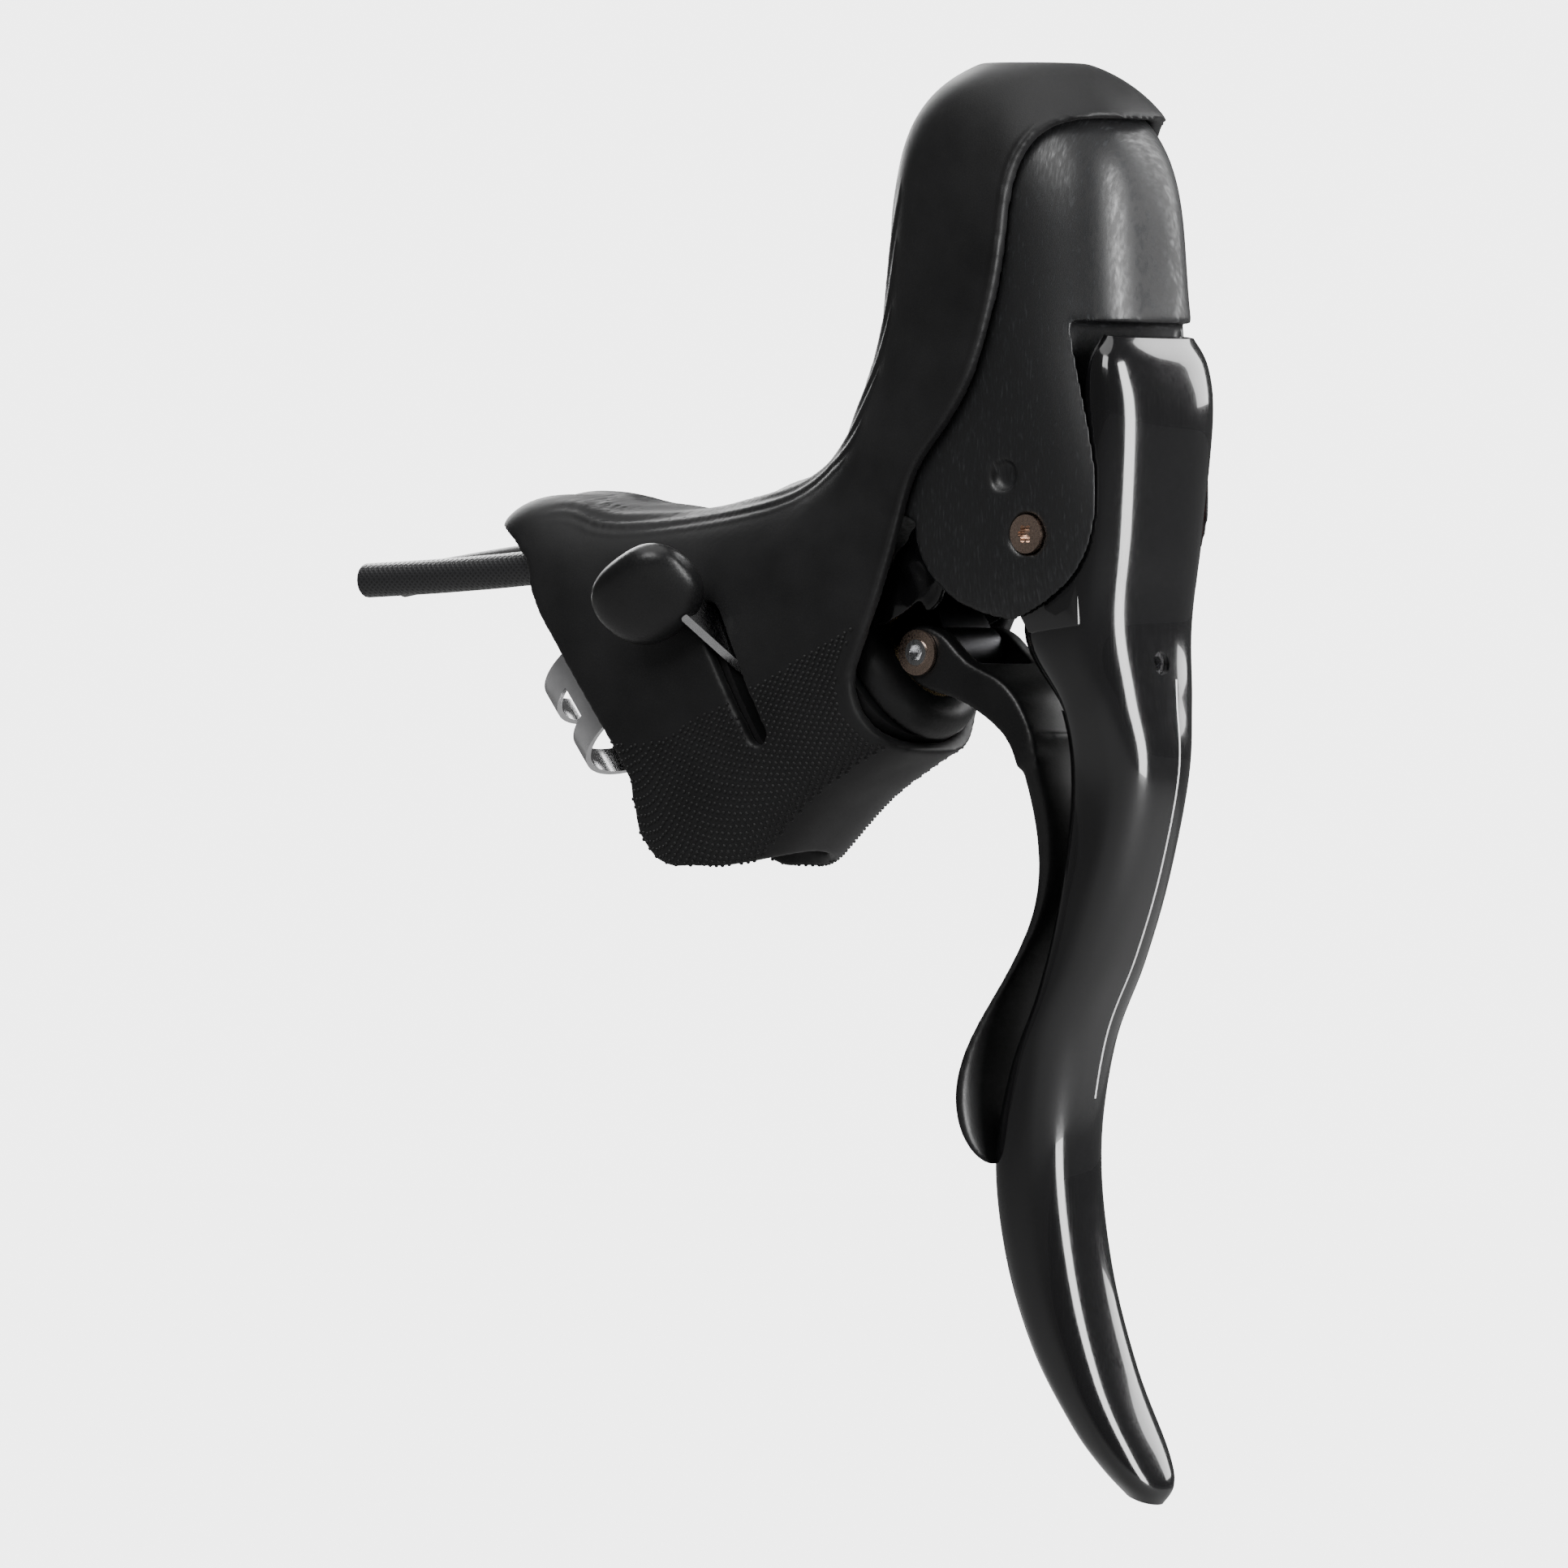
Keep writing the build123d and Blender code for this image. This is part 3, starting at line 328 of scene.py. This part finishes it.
def blend_rows(rows, t):
    """Catmull-Rom value of evenly numbered rows at t."""
    last = len(rows) - 1
    i = min(int(t), last - 1)
    f = t - i
    p = [rows[max(0, min(last, i + k))] for k in (-1, 0, 1, 2)]
    return [
        0.5 * (2 * b + (c - a) * f + (2 * a - 5 * b + 4 * c - d) * f * f + (3 * b - a - 3 * c + d) * f**3)
        for a, b, c, d in zip(*p)
    ]


def lofted(sections, steps, around, name):
    """A closed skin through oval sections: rear x, z, front x, z, half width, y, squareness, all in mm."""
    mesh = bpy.data.meshes.new(name)
    work = bmesh.new()
    rings = []
    total = (len(sections) - 1) * steps
    for number in range(total + 1):
        rear_x, rear_z, front_x, front_z, half, y, square = blend_rows(sections, number / steps)
        middle = Vector(((rear_x + front_x) / 2, y, (rear_z + front_z) / 2))
        arm = Vector(((front_x - rear_x) / 2, 0, (front_z - rear_z) / 2))
        ring = []
        for i in range(around):
            angle = 2 * math.pi * i / around
            point = middle + arm * power(math.cos(angle), 2 / square)
            point.y += half * power(math.sin(angle), 2 / square)
            ring.append(work.verts.new(point * MM))
        rings.append(ring)
    for low, high in zip(rings, rings[1:]):
        for i in range(around):
            j = (i + 1) % around
            work.faces.new((low[i], low[j], high[j], high[i]))
    for ring, flip in ((rings[0], True), (rings[-1], False)):
        centre = work.verts.new(sum((v.co for v in ring), Vector()) / around)
        for i in range(around):
            j = (i + 1) % around
            work.faces.new((ring[j], ring[i], centre) if flip else (ring[i], ring[j], centre))
    bmesh.ops.recalc_face_normals(work, faces=work.faces)
    for face in work.faces:
        face.smooth = True
    work.to_mesh(mesh)
    work.free()
    return mesh


def prism(outline, y0, y1, name):
    """A side-view outline in mm made solid between two places along Y."""
    mesh = bpy.data.meshes.new(name)
    work = bmesh.new()
    near = [work.verts.new(Vector((x, y0, z)) * MM) for x, z in outline]
    far = [work.verts.new(Vector((x, y1, z)) * MM) for x, z in outline]
    work.faces.new(near)
    work.faces.new(far[::-1])
    for i in range(len(outline)):
        j = (i + 1) % len(outline)
        work.faces.new((near[j], near[i], far[i], far[j]))
    bmesh.ops.recalc_face_normals(work, faces=work.faces)
    work.to_mesh(mesh)
    work.free()
    return mesh


def cut(mesh, *cutters, operation="DIFFERENCE"):
    """The mesh with closed cutter meshes taken away, or added."""
    for cutter in cutters:
        holder = bpy.data.objects.new("cutter", cutter)
        bpy.context.scene.collection.objects.link(holder)
        mesh = applied(mesh, ("BOOLEAN", {"operation": operation, "object": holder, "solver": "EXACT"}))
        bpy.data.objects.remove(holder)
    return mesh


def side_tube(x, z, y0, y1, r, count=40):
    """Outline prism of a round hole or boss along Y."""
    turn = [2 * math.pi * i / count for i in range(count)]
    return prism([(x + r * math.cos(a), z + r * math.sin(a)) for a in turn], y0, y1, "round")


# ---- cords --------------------------------------------------------------------------------------------
HOSE_ROUTE = [
    (0.041, -0.008, 0.0203), (0.0145, -0.008, 0.0203), (-0.016, -0.0077, 0.0163), (-0.046, -0.007, 0.0153),
]
HOUSING_ROUTE = [
    (0.015, 0.008, 0.0196), (-0.008, 0.008, 0.0196), (-0.029, 0.0076, 0.0186), (-0.051, 0.0068, 0.0152),
]
HOSE_RADIUS, HOUSING_RADIUS = 0.0025, 0.00225
# layers of the cut ends: radius and how far past the end, in mm
LINER_LAYERS = ((1.75, -0.3), (1.75, 0.03), (1.25, 0.03), (1.2, -1.5))
WIRE_LAYERS = ((1.7, -0.3), (1.7, 0.03), (1.0, 0.03), (0.95, -1.5))
RING_SIDES = 32


def cord_curve(name, route, radius, look_slot):
    data = bpy.data.curves.new(name, "CURVE")
    data.dimensions = "3D"
    data.bevel_depth = radius
    data.bevel_resolution = 8
    data.resolution_u = 24
    data.use_fill_caps = True
    spline = data.splines.new("NURBS")
    spline.points.add(len(route) - 1)
    for point, place in zip(spline.points, route):
        point.co = (*place, 1)
    spline.order_u = 3
    spline.use_endpoint_u = True
    piece = bpy.data.objects.new(name, data)
    bpy.context.scene.collection.objects.link(piece)
    data.materials.append(LOOKS[look_slot])
    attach(piece, "root")
    return piece


def end_rings(name, end, along, radii, slot):
    """Rings of the layers seen in a cord's square cut end, standing a hair proud of it."""
    mesh = bpy.data.meshes.new(name)
    work = bmesh.new()
    along = Vector(along).normalized()
    frame_turn = along.to_track_quat("Z", "Y").to_matrix()
    rings = []
    for radius, depth in radii:
        ring = []
        for i in range(RING_SIDES):
            angle = 2 * math.pi * i / RING_SIDES
            flat = Vector((math.cos(angle), math.sin(angle), 0)) * radius * MM
            ring.append(work.verts.new(Vector(end) + along * depth * MM + frame_turn @ flat))
        rings.append(ring)
    for one, two in zip(rings, rings[1:]):
        for i in range(RING_SIDES):
            j = (i + 1) % RING_SIDES
            work.faces.new((one[i], one[j], two[j], two[i]))
    work.faces.new(rings[-1])
    bmesh.ops.recalc_face_normals(work, faces=work.faces)
    work.to_mesh(mesh)
    work.free()
    shade_smooth(mesh)
    return put(name, mesh, "root", None, slot)


def add_cords():
    hose = cord_curve("hydraulic_hose", HOSE_ROUTE, HOSE_RADIUS, "hose_black")
    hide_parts("brake_hose")
    away = Vector(HOSE_ROUTE[-1]) - Vector(HOSE_ROUTE[-2])
    liner = end_rings("hose_liner", HOSE_ROUTE[-1], away, LINER_LAYERS, "seal_rubber")
    housing = cord_curve("gear_cable_housing", HOUSING_ROUTE, HOUSING_RADIUS, "housing_black")
    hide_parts("cable_housing")
    away = Vector(HOUSING_ROUTE[-1]) - Vector(HOUSING_ROUTE[-2])
    wires = end_rings("housing_wires", HOUSING_ROUTE[-1], away, WIRE_LAYERS, "spring_steel")


# ---- the hood -----------------------------------------------------------------------------------------
# cuts across the hood in side view: its top and rear end, its bottom and front end, in mm
HOOD_CUTS = [
    (-25.0, 25.0, 1.0, -28.0), (-10.0, 28.0, 12.0, -27.8), (4.0, 26.6, 22.5, -26.5), (28.0, 30.0, 50.0, -11.4),
    (35.5, 33.5, 65.0, -4.8), (41.0, 39.0, 84.0, 2.5), (45.0, 46.5, 98.6, 13.0), (48.3, 54.5, 99.4, 34.0),
    (50.4, 63.0, 96.2, 52.0), (51.9, 71.0, 95.0, 67.0), (54.0, 78.6, 92.2, 77.2), (58.4, 84.6, 86.4, 84.0),
]
CUT_STEPS = 24
HOOD_BOTTOM = -22.0  # the cover's trimmed lower edge beside the handlebar, before it is drawn down
CUT_LINES = [blend_rows(HOOD_CUTS, i / CUT_STEPS) for i in range((len(HOOD_CUTS) - 1) * CUT_STEPS + 1)]
LAST_CUT = 10.99  # just short of the last cut
HOOD_SQUARE = 3.2
HOOD_HALF = [15.2, 15.4, 15.9, 16.8, 17.2, 17.3, 17.3, 17.3, 17.3, 16.9, 15.4, 12.0]
LIP = [
    (99.0, 76.5), (91.0, 79.6), (83.5, 78.0), (80.0, 72.0), (78.6, 62.0), (76.4, 52.0), (72.8, 43.0),
    (67.6, 36.0), (62.4, 30.0), (60.0, 23.0), (56.6, 13.3), (52.8, 5.5), (50.2, 0.0), (50.6, -5.4), (55.6, -10.6),
]  # front edge of the hood in side view


def side_tree(places):
    """Nearest-place lookup in side view; places are x, z in mm."""
    tree = KDTree(len(places))
    for number, (x, z) in enumerate(places):
        tree.insert((x, 0, z), number)
    tree.balance()
    return tree


CUT_PLACES = [
    (number, (top_x + (low_x - top_x) * i / 100, top_z + (low_z - top_z) * i / 100))
    for number, (top_x, top_z, low_x, low_z) in enumerate(CUT_LINES)
    for i in range(-8, 109)
]
CUT_TREE = side_tree([place for _, place in CUT_PLACES])
LIP_TREE = side_tree([blend_rows(LIP, i / 20) for i in range((len(LIP) - 1) * 20 + 1)])


def hood_place(x, z):
    """Where a side-view point in mm lies on the hood: which cut, and how far in from the crest."""
    number = CUT_PLACES[CUT_TREE.find((x, 0, z))[1]][0]
    top_x, top_z, low_x, low_z = CUT_LINES[number]
    run_x, run_z = low_x - top_x, low_z - top_z
    length = math.hypot(run_x, run_z)
    return number / CUT_STEPS, ((x - top_x) * run_x + (z - top_z) * run_z) / length


def smooth_step(value, low, high):
    t = max(0.0, min(1.0, (value - low) / (high - low)))
    return t * t * (3 - 2 * t)


def rib_height(cut_number, inward):
    """Ridges along the crest of the saddle, which fan out across the rear of the horn."""
    spread = 1.5 + 0.22 * max(0.0, cut_number - 3.5)
    slant = 2.6 * max(0.0, cut_number - 4.6)
    along = smooth_step(cut_number, 0.6, 1.6) * (1 - smooth_step(cut_number, 8.0, 9.4))
    reach = 5.6 + 1.6 * max(0.0, min(2.5, cut_number - 4))
    across = 1 - smooth_step(inward, 0.55 * reach, reach)
    wave = 0.5 + 0.5 * math.cos(2 * math.pi * (inward - slant) / spread)
    return 0.30 * along * across * wave


# how far in mm each cut's crest is drawn in from its CAD place
CREST_IN = [(0.0,), (0.4,), (1.0,), (2.2,), (3.6,), (4.4,), (4.0,), (3.0,), (1.6,), (0.7,), (0.2,), (0.0,)]
TONGUE_IN = 6.0  # how far in mm the rear tongue is shortened


def draw_in(mesh):
    """Brings a skin in from the crest, where the horn's neck is slim, and shortens its rear tongue."""
    for vertex in mesh.vertices:
        x, z = vertex.co.x / MM, vertex.co.z / MM
        cut_number, inward = hood_place(x, z)
        number = max(0.0, min(LAST_CUT, cut_number))
        amount = blend_rows(CREST_IN, number)[0] * (1 - smooth_step(inward, 3.0, 28.0))
        top_x, top_z, low_x, low_z = blend_rows(HOOD_CUTS, number)
        length = math.hypot(low_x - top_x, low_z - top_z)
        vertex.co.x += (low_x - top_x) / length * amount * MM
        vertex.co.z += (low_z - top_z) / length * amount * MM
        vertex.co.x += TONGUE_IN * smooth_step(4.0 - x, 0.0, 30.0) * smooth_step(z, 8.0, 22.0) * MM


def add_bracket():
    """A bent copy of the bracket, drawn in with the hood. It crosses its bolt, yoke, band and pawl."""
    mesh = NODES["bracket_body"].data.copy()
    draw_in(mesh)
    put("bracket_casting", mesh, "root", None, SLOT_OF["bracket_body"], "bracket_body")


def lower_flank(x, z):
    """How far in mm the hood's flank hangs down beside the handlebar, behind its lowest edge."""
    return -4.2 * smooth_step(-z, 4.0, 22.0) * (1 - smooth_step(x, 22.0, 42.0)) * smooth_step(x, 5.0, 17.0)


def add_hood():
    under = [(-30.0, -45.0), (70.0, -45.0), (70.0, HOOD_BOTTOM), (-30.0, HOOD_BOTTOM)]
    mesh = softened("rubber_hood", 0.45 * MM, 12, prism(under, -30, 30, "under"))
    normals = [v.normal.copy() for v in mesh.vertices]
    for vertex, normal in zip(mesh.vertices, normals):
        x, z = vertex.co.x / MM, vertex.co.z / MM
        cut_number, inward = hood_place(x, z)
        half = blend_rows([(h,) for h in HOOD_HALF], max(0.0, min(LAST_CUT, cut_number)))[0]
        outside = abs(vertex.co.y) / MM > half - 1.2 or inward < 2.0 + 0.02 * abs(vertex.co.y / MM) ** 2
        if outside:
            rim = LIP_TREE.find((x, 0, z))[2]
            lift = rib_height(cut_number, inward)
            lift += 0.28 * (1 - smooth_step(rim, 0.7, 1.3)) * abs(normal.y)
            vertex.co += normal * lift * MM
        vertex.co.z += lower_flank(x, z) * MM
    draw_in(mesh)
    hood = put("hood_cover", mesh, "root", None, "hood_rubber", "rubber_hood")
    add_dots(mesh)
    return hood


DOT_PITCH = 1.0
DOT_SIDES = 6
DOT_RADIUS, DOT_HEIGHT = 0.32, 0.26


def dome(work, place, normal, radius, height):
    """A small raised dot on a surface."""
    turn = normal.to_track_quat("Z", "Y").to_matrix()
    rings = []
    for share, lift in ((1.0, -0.25), (0.72, 0.7)):
        ring = []
        for i in range(DOT_SIDES):
            angle = 2 * math.pi * i / DOT_SIDES
            flat = Vector((math.cos(angle) * radius * share, math.sin(angle) * radius * share, height * lift))
            ring.append(work.verts.new(place + turn @ flat))
        rings.append(ring)
    top = work.verts.new(place + turn @ Vector((0, 0, height)))
    for i in range(DOT_SIDES):
        j = (i + 1) % DOT_SIDES
        work.faces.new((rings[0][i], rings[0][j], rings[1][j], rings[1][i]))
        work.faces.new((rings[1][i], rings[1][j], top))


def section_walk(number, pitch, offset):
    """Places a pitch apart round the lower part of one cut of the hood, with the way out at each."""
    top_x, top_z, low_x, low_z = blend_rows(HOOD_CUTS, number)
    half = blend_rows([(h,) for h in HOOD_HALF], number)[0]
    middle = Vector(((top_x + low_x) / 2, 0, (top_z + low_z) / 2))
    arm = Vector(((low_x - top_x) / 2, 0, (low_z - top_z) / 2))
    places, travelled, before = [], offset, None
    for i in range(401):
        angle = math.pi * (i / 400 - 0.5)
        flat = power(math.cos(angle), 2 / HOOD_SQUARE)
        here = middle + arm * flat + Vector((0, half * power(math.sin(angle), 2 / HOOD_SQUARE), 0))
        if before is not None:
            travelled += (here - before).length
        before = here
        if travelled >= pitch:
            travelled -= pitch
            places.append((here, (here - middle - arm * flat * 0.35).normalized(), 0.5 + flat / 2))
    return places


def add_dots(hood_mesh):
    """Rows of small raised dots on the hood's lower part, one piece."""
    tree = BVHTree.FromPolygons([v.co for v in hood_mesh.vertices], [p.vertices for p in hood_mesh.polygons])
    mesh = bpy.data.meshes.new("hood_dots")
    work = bmesh.new()
    row, number = 0, 0.15
    while number < 4.3:
        for here, outward, share in section_walk(number, DOT_PITCH, (row % 2) * DOT_PITCH / 2):
            flank = abs(here.y) > (9.0 if number > 2.2 else 5.0)
            if share < 0.64 or not flank or LIP_TREE.find((here.x, 0, here.z))[2] < 1.9:
                continue
            start = (here + outward * 4 + Vector((0, 0, lower_flank(here.x, here.z)))) * MM
            place, normal, _, _ = tree.ray_cast(start, -outward, 7 * MM)
            if place is not None and normal.dot(outward) > 0.6:
                dome(work, place, normal, DOT_RADIUS * MM, DOT_HEIGHT * MM)
        low_now, low_next = blend_rows(HOOD_CUTS, number), blend_rows(HOOD_CUTS, number + 0.1)
        step = math.hypot(low_next[2] - low_now[2], low_next[3] - low_now[3]) * 10
        number += DOT_PITCH * 0.8 / max(step, 1.0)
        row += 1
    for face in work.faces:
        face.smooth = True
    work.to_mesh(mesh)
    work.free()
    return put("hood_dots", mesh, "root", None, "hood_rubber")


# ---- horn, boot and small mouldings -------------------------------------------------------------------
def add_horn():
    mesh = softened("cylinder_housing", 0.5 * MM, 6)
    draw_in(mesh)
    return put("horn_shell", mesh, "root", None, "horn_gloss", "cylinder_housing")


def add_mouldings():
    nose = softened("mechanism_cap", 0.35 * MM, 5)
    put("mechanism_nose", nose, "root", None, "body_plastic", "mechanism_cap")
    pad = softened("thumb_button", 0.3 * MM, 8)
    put("thumb_pad", pad, "thumb", None, "thumb_plastic", "thumb_button")
    paddle = softened("shift_paddle", 0.4 * MM, 14)
    for vertex in paddle.vertices:  # brings the arm forwards; at rest it crosses the blade
        vertex.co.x += 2.3 * smooth_step(-vertex.co.z / MM, 12.0, 34.0) * MM
    put("finger_paddle", paddle, "paddle", None, "paddle_matt", "shift_paddle")


def add_boot():
    """Thin rubber boot, its walls gathered inwards in uneven folds between the hood and the cheeks."""
    mesh = softened("mechanism_boot", 0.3 * MM, 4)
    for vertex in mesh.vertices:
        x, z = vertex.co.x / MM, vertex.co.z / MM
        steep = abs(math.sin(0.62 * x + 0.34 * z + 0.9 * math.sin(0.31 * z)))
        cross = abs(math.sin(0.27 * x - 0.52 * z + 0.7 * math.sin(0.5 * x)))
        vertex.co.y -= math.copysign((0.5 * steep**2 + 0.35 * cross) * MM, vertex.co.y)
    return put("creased_boot", mesh, "root", None, "boot_rubber", "mechanism_boot")


# ---- brake blade --------------------------------------------------------------------------------------
# cuts across the blade: rear x, z, front x, z, half width, place along Y, squareness, in mm
BLADE = [
    (90.2, 49.2, 94.0, 48.6, 9.6, 0.0, 2.8), (88.0, 45.5, 96.0, 44.5, 11.8, 0.0, 2.8),
    (86.4, 38.0, 97.0, 37.0, 12.3, 0.0, 2.8), (81.0, 22.0, 95.6, 21.0, 12.3, 0.0, 2.9),
    (75.6, 7.4, 94.0, 8.4, 12.1, 0.0, 3.2), (81.4, -4.4, 95.0, -2.0, 10.4, 0.0, 2.8),
    (81.6, -16.0, 95.6, -12.6, 8.4, 0.2, 2.8), (78.8, -31.6, 92.2, -26.8, 7.9, 0.5, 2.7),
    (74.6, -44.0, 87.4, -38.6, 7.8, 1.1, 2.7), (69.2, -55.0, 81.4, -50.4, 7.8, 1.8, 2.7),
    (66.0, -67.2, 78.4, -66.0, 7.8, 2.4, 2.7), (66.8, -80.8, 79.4, -82.6, 7.8, 3.6, 2.7),
    (70.4, -93.6, 82.8, -97.6, 7.8, 5.2, 2.7), (75.6, -104.0, 87.4, -109.2, 7.2, 6.8, 2.6),
    (79.4, -110.0, 88.6, -113.8, 5.6, 7.6, 2.4), (82.6, -114.4, 87.4, -116.2, 2.8, 8.1, 2.2),
]


POCKET_HALF, WEB_HALF, CHEEK_HALF = 9.6, 3.2, 12.2


def blade_point(place, turn):
    """A point in mm on the blade: how many cuts down, and degrees round from the front towards +Y."""
    rear_x, rear_z, front_x, front_z, half, y, square = blend_rows(BLADE, place)
    angle = math.radians(turn)
    reach = 0.5 + 0.5 * power(math.cos(angle), 2 / square)
    x, z = rear_x + (front_x - rear_x) * reach, rear_z + (front_z - rear_z) * reach
    return (x, y + half * power(math.sin(angle), 2 / square), z)


def front_rod(x0, x1, y, z, r, count=32):
    """A round rod along X, in mm, for holes drilled from the front."""
    turn = [2 * math.pi * i / count for i in range(count)]
    mesh = prism([(r * math.cos(a), r * math.sin(a)) for a in turn], x0, x1, "rod")
    mesh.transform(Matrix.Translation(Vector((0, y, z)) * MM) @ Matrix.Rotation(-math.pi / 2, 4, "Z"))
    return mesh


def add_blade():
    skin = lofted(BLADE, 8, 64, "blade")
    outline = [(60, -2), (86, -4), (89.4, 2), (90.8, 10), (92.0, 30), (92.4, 44.5), (90.0, 54), (60, 54)]
    pocket = prism(outline, -POCKET_HALF, POCKET_HALF, "pocket")
    px, pz = PIVOT.x / MM, PIVOT.z / MM
    bore = side_tube(px, pz, -20, 20, 3.5)
    skin = cut(skin, pocket, bore, front_rod(84, 110, 0, 2.8, 1.7))
    shade_smooth(skin)
    put("blade_skin", skin, "brake_lever", None, "blade_gloss", "brake_lever")
    plate = [
        (88.5, 31.0), (82.5, 29.6), (77.6, 27.0), (75.0, 23.6),
        (74.4, 20.0), (75.4, 14.0), (80.0, 7.0), (89.0, 8.0),
    ]
    sides = ((-CHEEK_HALF, -POCKET_HALF), (POCKET_HALF, CHEEK_HALF))
    parts = [prism(plate, low, high, "cheek") for low, high in sides]
    cam_x, cam_z = 70.2, pz - 0.2
    web = [
        (cam_x, cam_z - 2.2), (86, 14.6), (88, 0), (91.6, 0),
        (92.6, 27), (81, 27), (73.8, cam_z + 1.8), (cam_x, cam_z + 1.8),
    ]
    parts += [prism(web, -WEB_HALF, WEB_HALF, "web"), side_tube(cam_x, cam_z, -WEB_HALF, WEB_HALF, 2.2)]
    for number, part in enumerate(parts):
        mesh = cut(part, bore.copy()) if number < 3 else part
        mesh = applied(mesh, ("BEVEL", {"width": 0.35 * MM, "segments": 2, "limit_method": "ANGLE"}))
        shade_smooth(mesh)
        put(f"blade_root_{number}", mesh, "brake_lever", None, "blade_gloss")
    pinstripe = [blade_point(4.75 + i * 0.05, 9) for i in range(97)]
    strip = surface_strip(skin, pinstripe, 0.2, 0.03, "blade_pinstripe")
    white = paint_material("pinstripe_look", (0.75, 0.75, 0.76))
    put("blade_pinstripe", strip, "brake_lever", white, "blade_gloss")
    accent = [blade_point(2.35 + i * 0.05, 62 - abs(i - 12) * 0.4) for i in range(25)]
    strip = surface_strip(skin, accent, 1.3, 0.03, "blade_accent")
    red = paint_material("accent_look", (0.62, 0.03, 0.02))
    put("blade_accent", strip, "brake_lever", red, "blade_gloss")


def surface_strip(mesh, points, half_width, lift, name):
    """A thin painted line that follows a skin: points are side-view places with a y, each taken to the nearest
    place on the skin.
    """
    tree = BVHTree.FromPolygons([v.co for v in mesh.vertices], [p.vertices for p in mesh.polygons])
    strip = bpy.data.meshes.new(name)
    work = bmesh.new()
    edges = []
    for before, here, after in zip([points[0]] + points[:-1], points, points[1:] + [points[-1]]):
        along = (Vector(after) - Vector(before)).normalized()
        found, normal, _, _ = tree.find_nearest(Vector(here) * MM)
        across = along.cross(normal).normalized()
        pair = []
        for side in (-1, 1):
            place, out, _, _ = tree.find_nearest(found + across * side * half_width * MM)
            pair.append(work.verts.new(place + out * lift * MM))
        edges.append(pair)
    for one, two in zip(edges, edges[1:]):
        work.faces.new((one[0], two[0], two[1], one[1]))
    bmesh.ops.recalc_face_normals(work, faces=work.faces)
    for face in work.faces:
        face.smooth = True
    work.to_mesh(strip)
    work.free()
    return strip


# ---- stage, light and everything ----------------------------------------------------------------------
FLOOR_SIZE, FLOOR_LEVEL = 9.0, -0.30


def add_stage():
    """Pale floor under the object. The surfaces see it dimmer than the eye does, as from a raised table."""
    mesh = bpy.data.meshes.new("floor")
    work = bmesh.new()
    places = ((-1, -1), (1, -1), (1, 1), (-1, 1))
    corners = [work.verts.new((x * FLOOR_SIZE, y * FLOOR_SIZE, FLOOR_LEVEL)) for x, y in places]
    work.faces.new(corners)
    work.to_mesh(mesh)
    work.free()
    floor = bpy.data.objects.new("floor", mesh)
    bpy.context.scene.collection.objects.link(floor)
    material, tree, shader = new_material("floor_look", (0.8, 0.8, 0.8), 0.9)
    sight = add_node(tree, "ShaderNodeLightPath")
    seen = math_node(tree, "MULTIPLY", sight.outputs["Is Camera Ray"], 0.62)
    cloud = noise(tree, 1.5, 2.0)
    tint = ramp(tree, cloud, ((0.3, 0.20), (0.7, 0.22)))
    tree.links.new(tint, shader.inputs["Base Color"])
    shader.inputs["Emission Color"].default_value = (1, 1, 1, 1)
    tree.links.new(math_node(tree, "MULTIPLY", seen, 1.55 * BACKDROP), shader.inputs["Emission Strength"])
    mesh.materials.append(material)


def add_light(name, azimuth, elevation, distance, size, power_watts):
    """An area light that looks at the object's middle; azimuth 0 stands in front of -Y."""
    data = bpy.data.lights.new(name, "AREA")
    data.shape = "RECTANGLE"
    data.size, data.size_y = size
    data.energy = power_watts
    light = bpy.data.objects.new(name, data)
    light.visible_camera = False
    bpy.context.scene.collection.objects.link(light)
    a, e = math.radians(azimuth), math.radians(elevation)
    towards = Vector((math.sin(a) * math.cos(e), -math.cos(a) * math.cos(e), math.sin(e)))
    middle = Vector((0.04, 0, -0.01))
    light.location = middle + towards * distance
    light.rotation_euler = (-towards).to_track_quat("-Z", "Y").to_euler()


def add_lights():
    """Soft boxes in a dim room with a white backdrop; a soft sun keeps the floor pale to its far edge."""
    world = bpy.data.worlds.new("studio")
    world.use_nodes = True
    tree = world.node_tree
    background = tree.nodes["Background"]
    background.inputs["Color"].default_value = (1, 1, 1, 1)
    sight = add_node(tree, "ShaderNodeLightPath")
    scaled = math_node(tree, "MULTIPLY", sight.outputs["Is Camera Ray"], BACKDROP - ROOM)
    tree.links.new(math_node(tree, "ADD", scaled, ROOM), background.inputs["Strength"])
    bpy.context.scene.world = world
    sun = bpy.data.lights.new("overhead", "SUN")
    sun.energy = 1.6
    sun.angle = math.radians(70)
    above = bpy.data.objects.new("overhead", sun)
    bpy.context.scene.collection.objects.link(above)
    above.rotation_euler = (math.radians(8), math.radians(-6), 0)
    add_light("key", 98, 6, 1.2, (0.42, 1.2), 30)
    add_light("fill", 10, 38, 1.5, (0.9, 0.6), 13)
    add_light("rim", 235, 20, 1.3, (0.5, 1.0), 14)
    add_light("back", 160, 25, 1.4, (0.5, 1.0), 10)


add_camera()
dress_cad_nodes()
add_cords()
add_hood()
add_horn()
add_bracket()
add_mouldings()
add_boot()
add_blade()
add_stage()
add_lights()
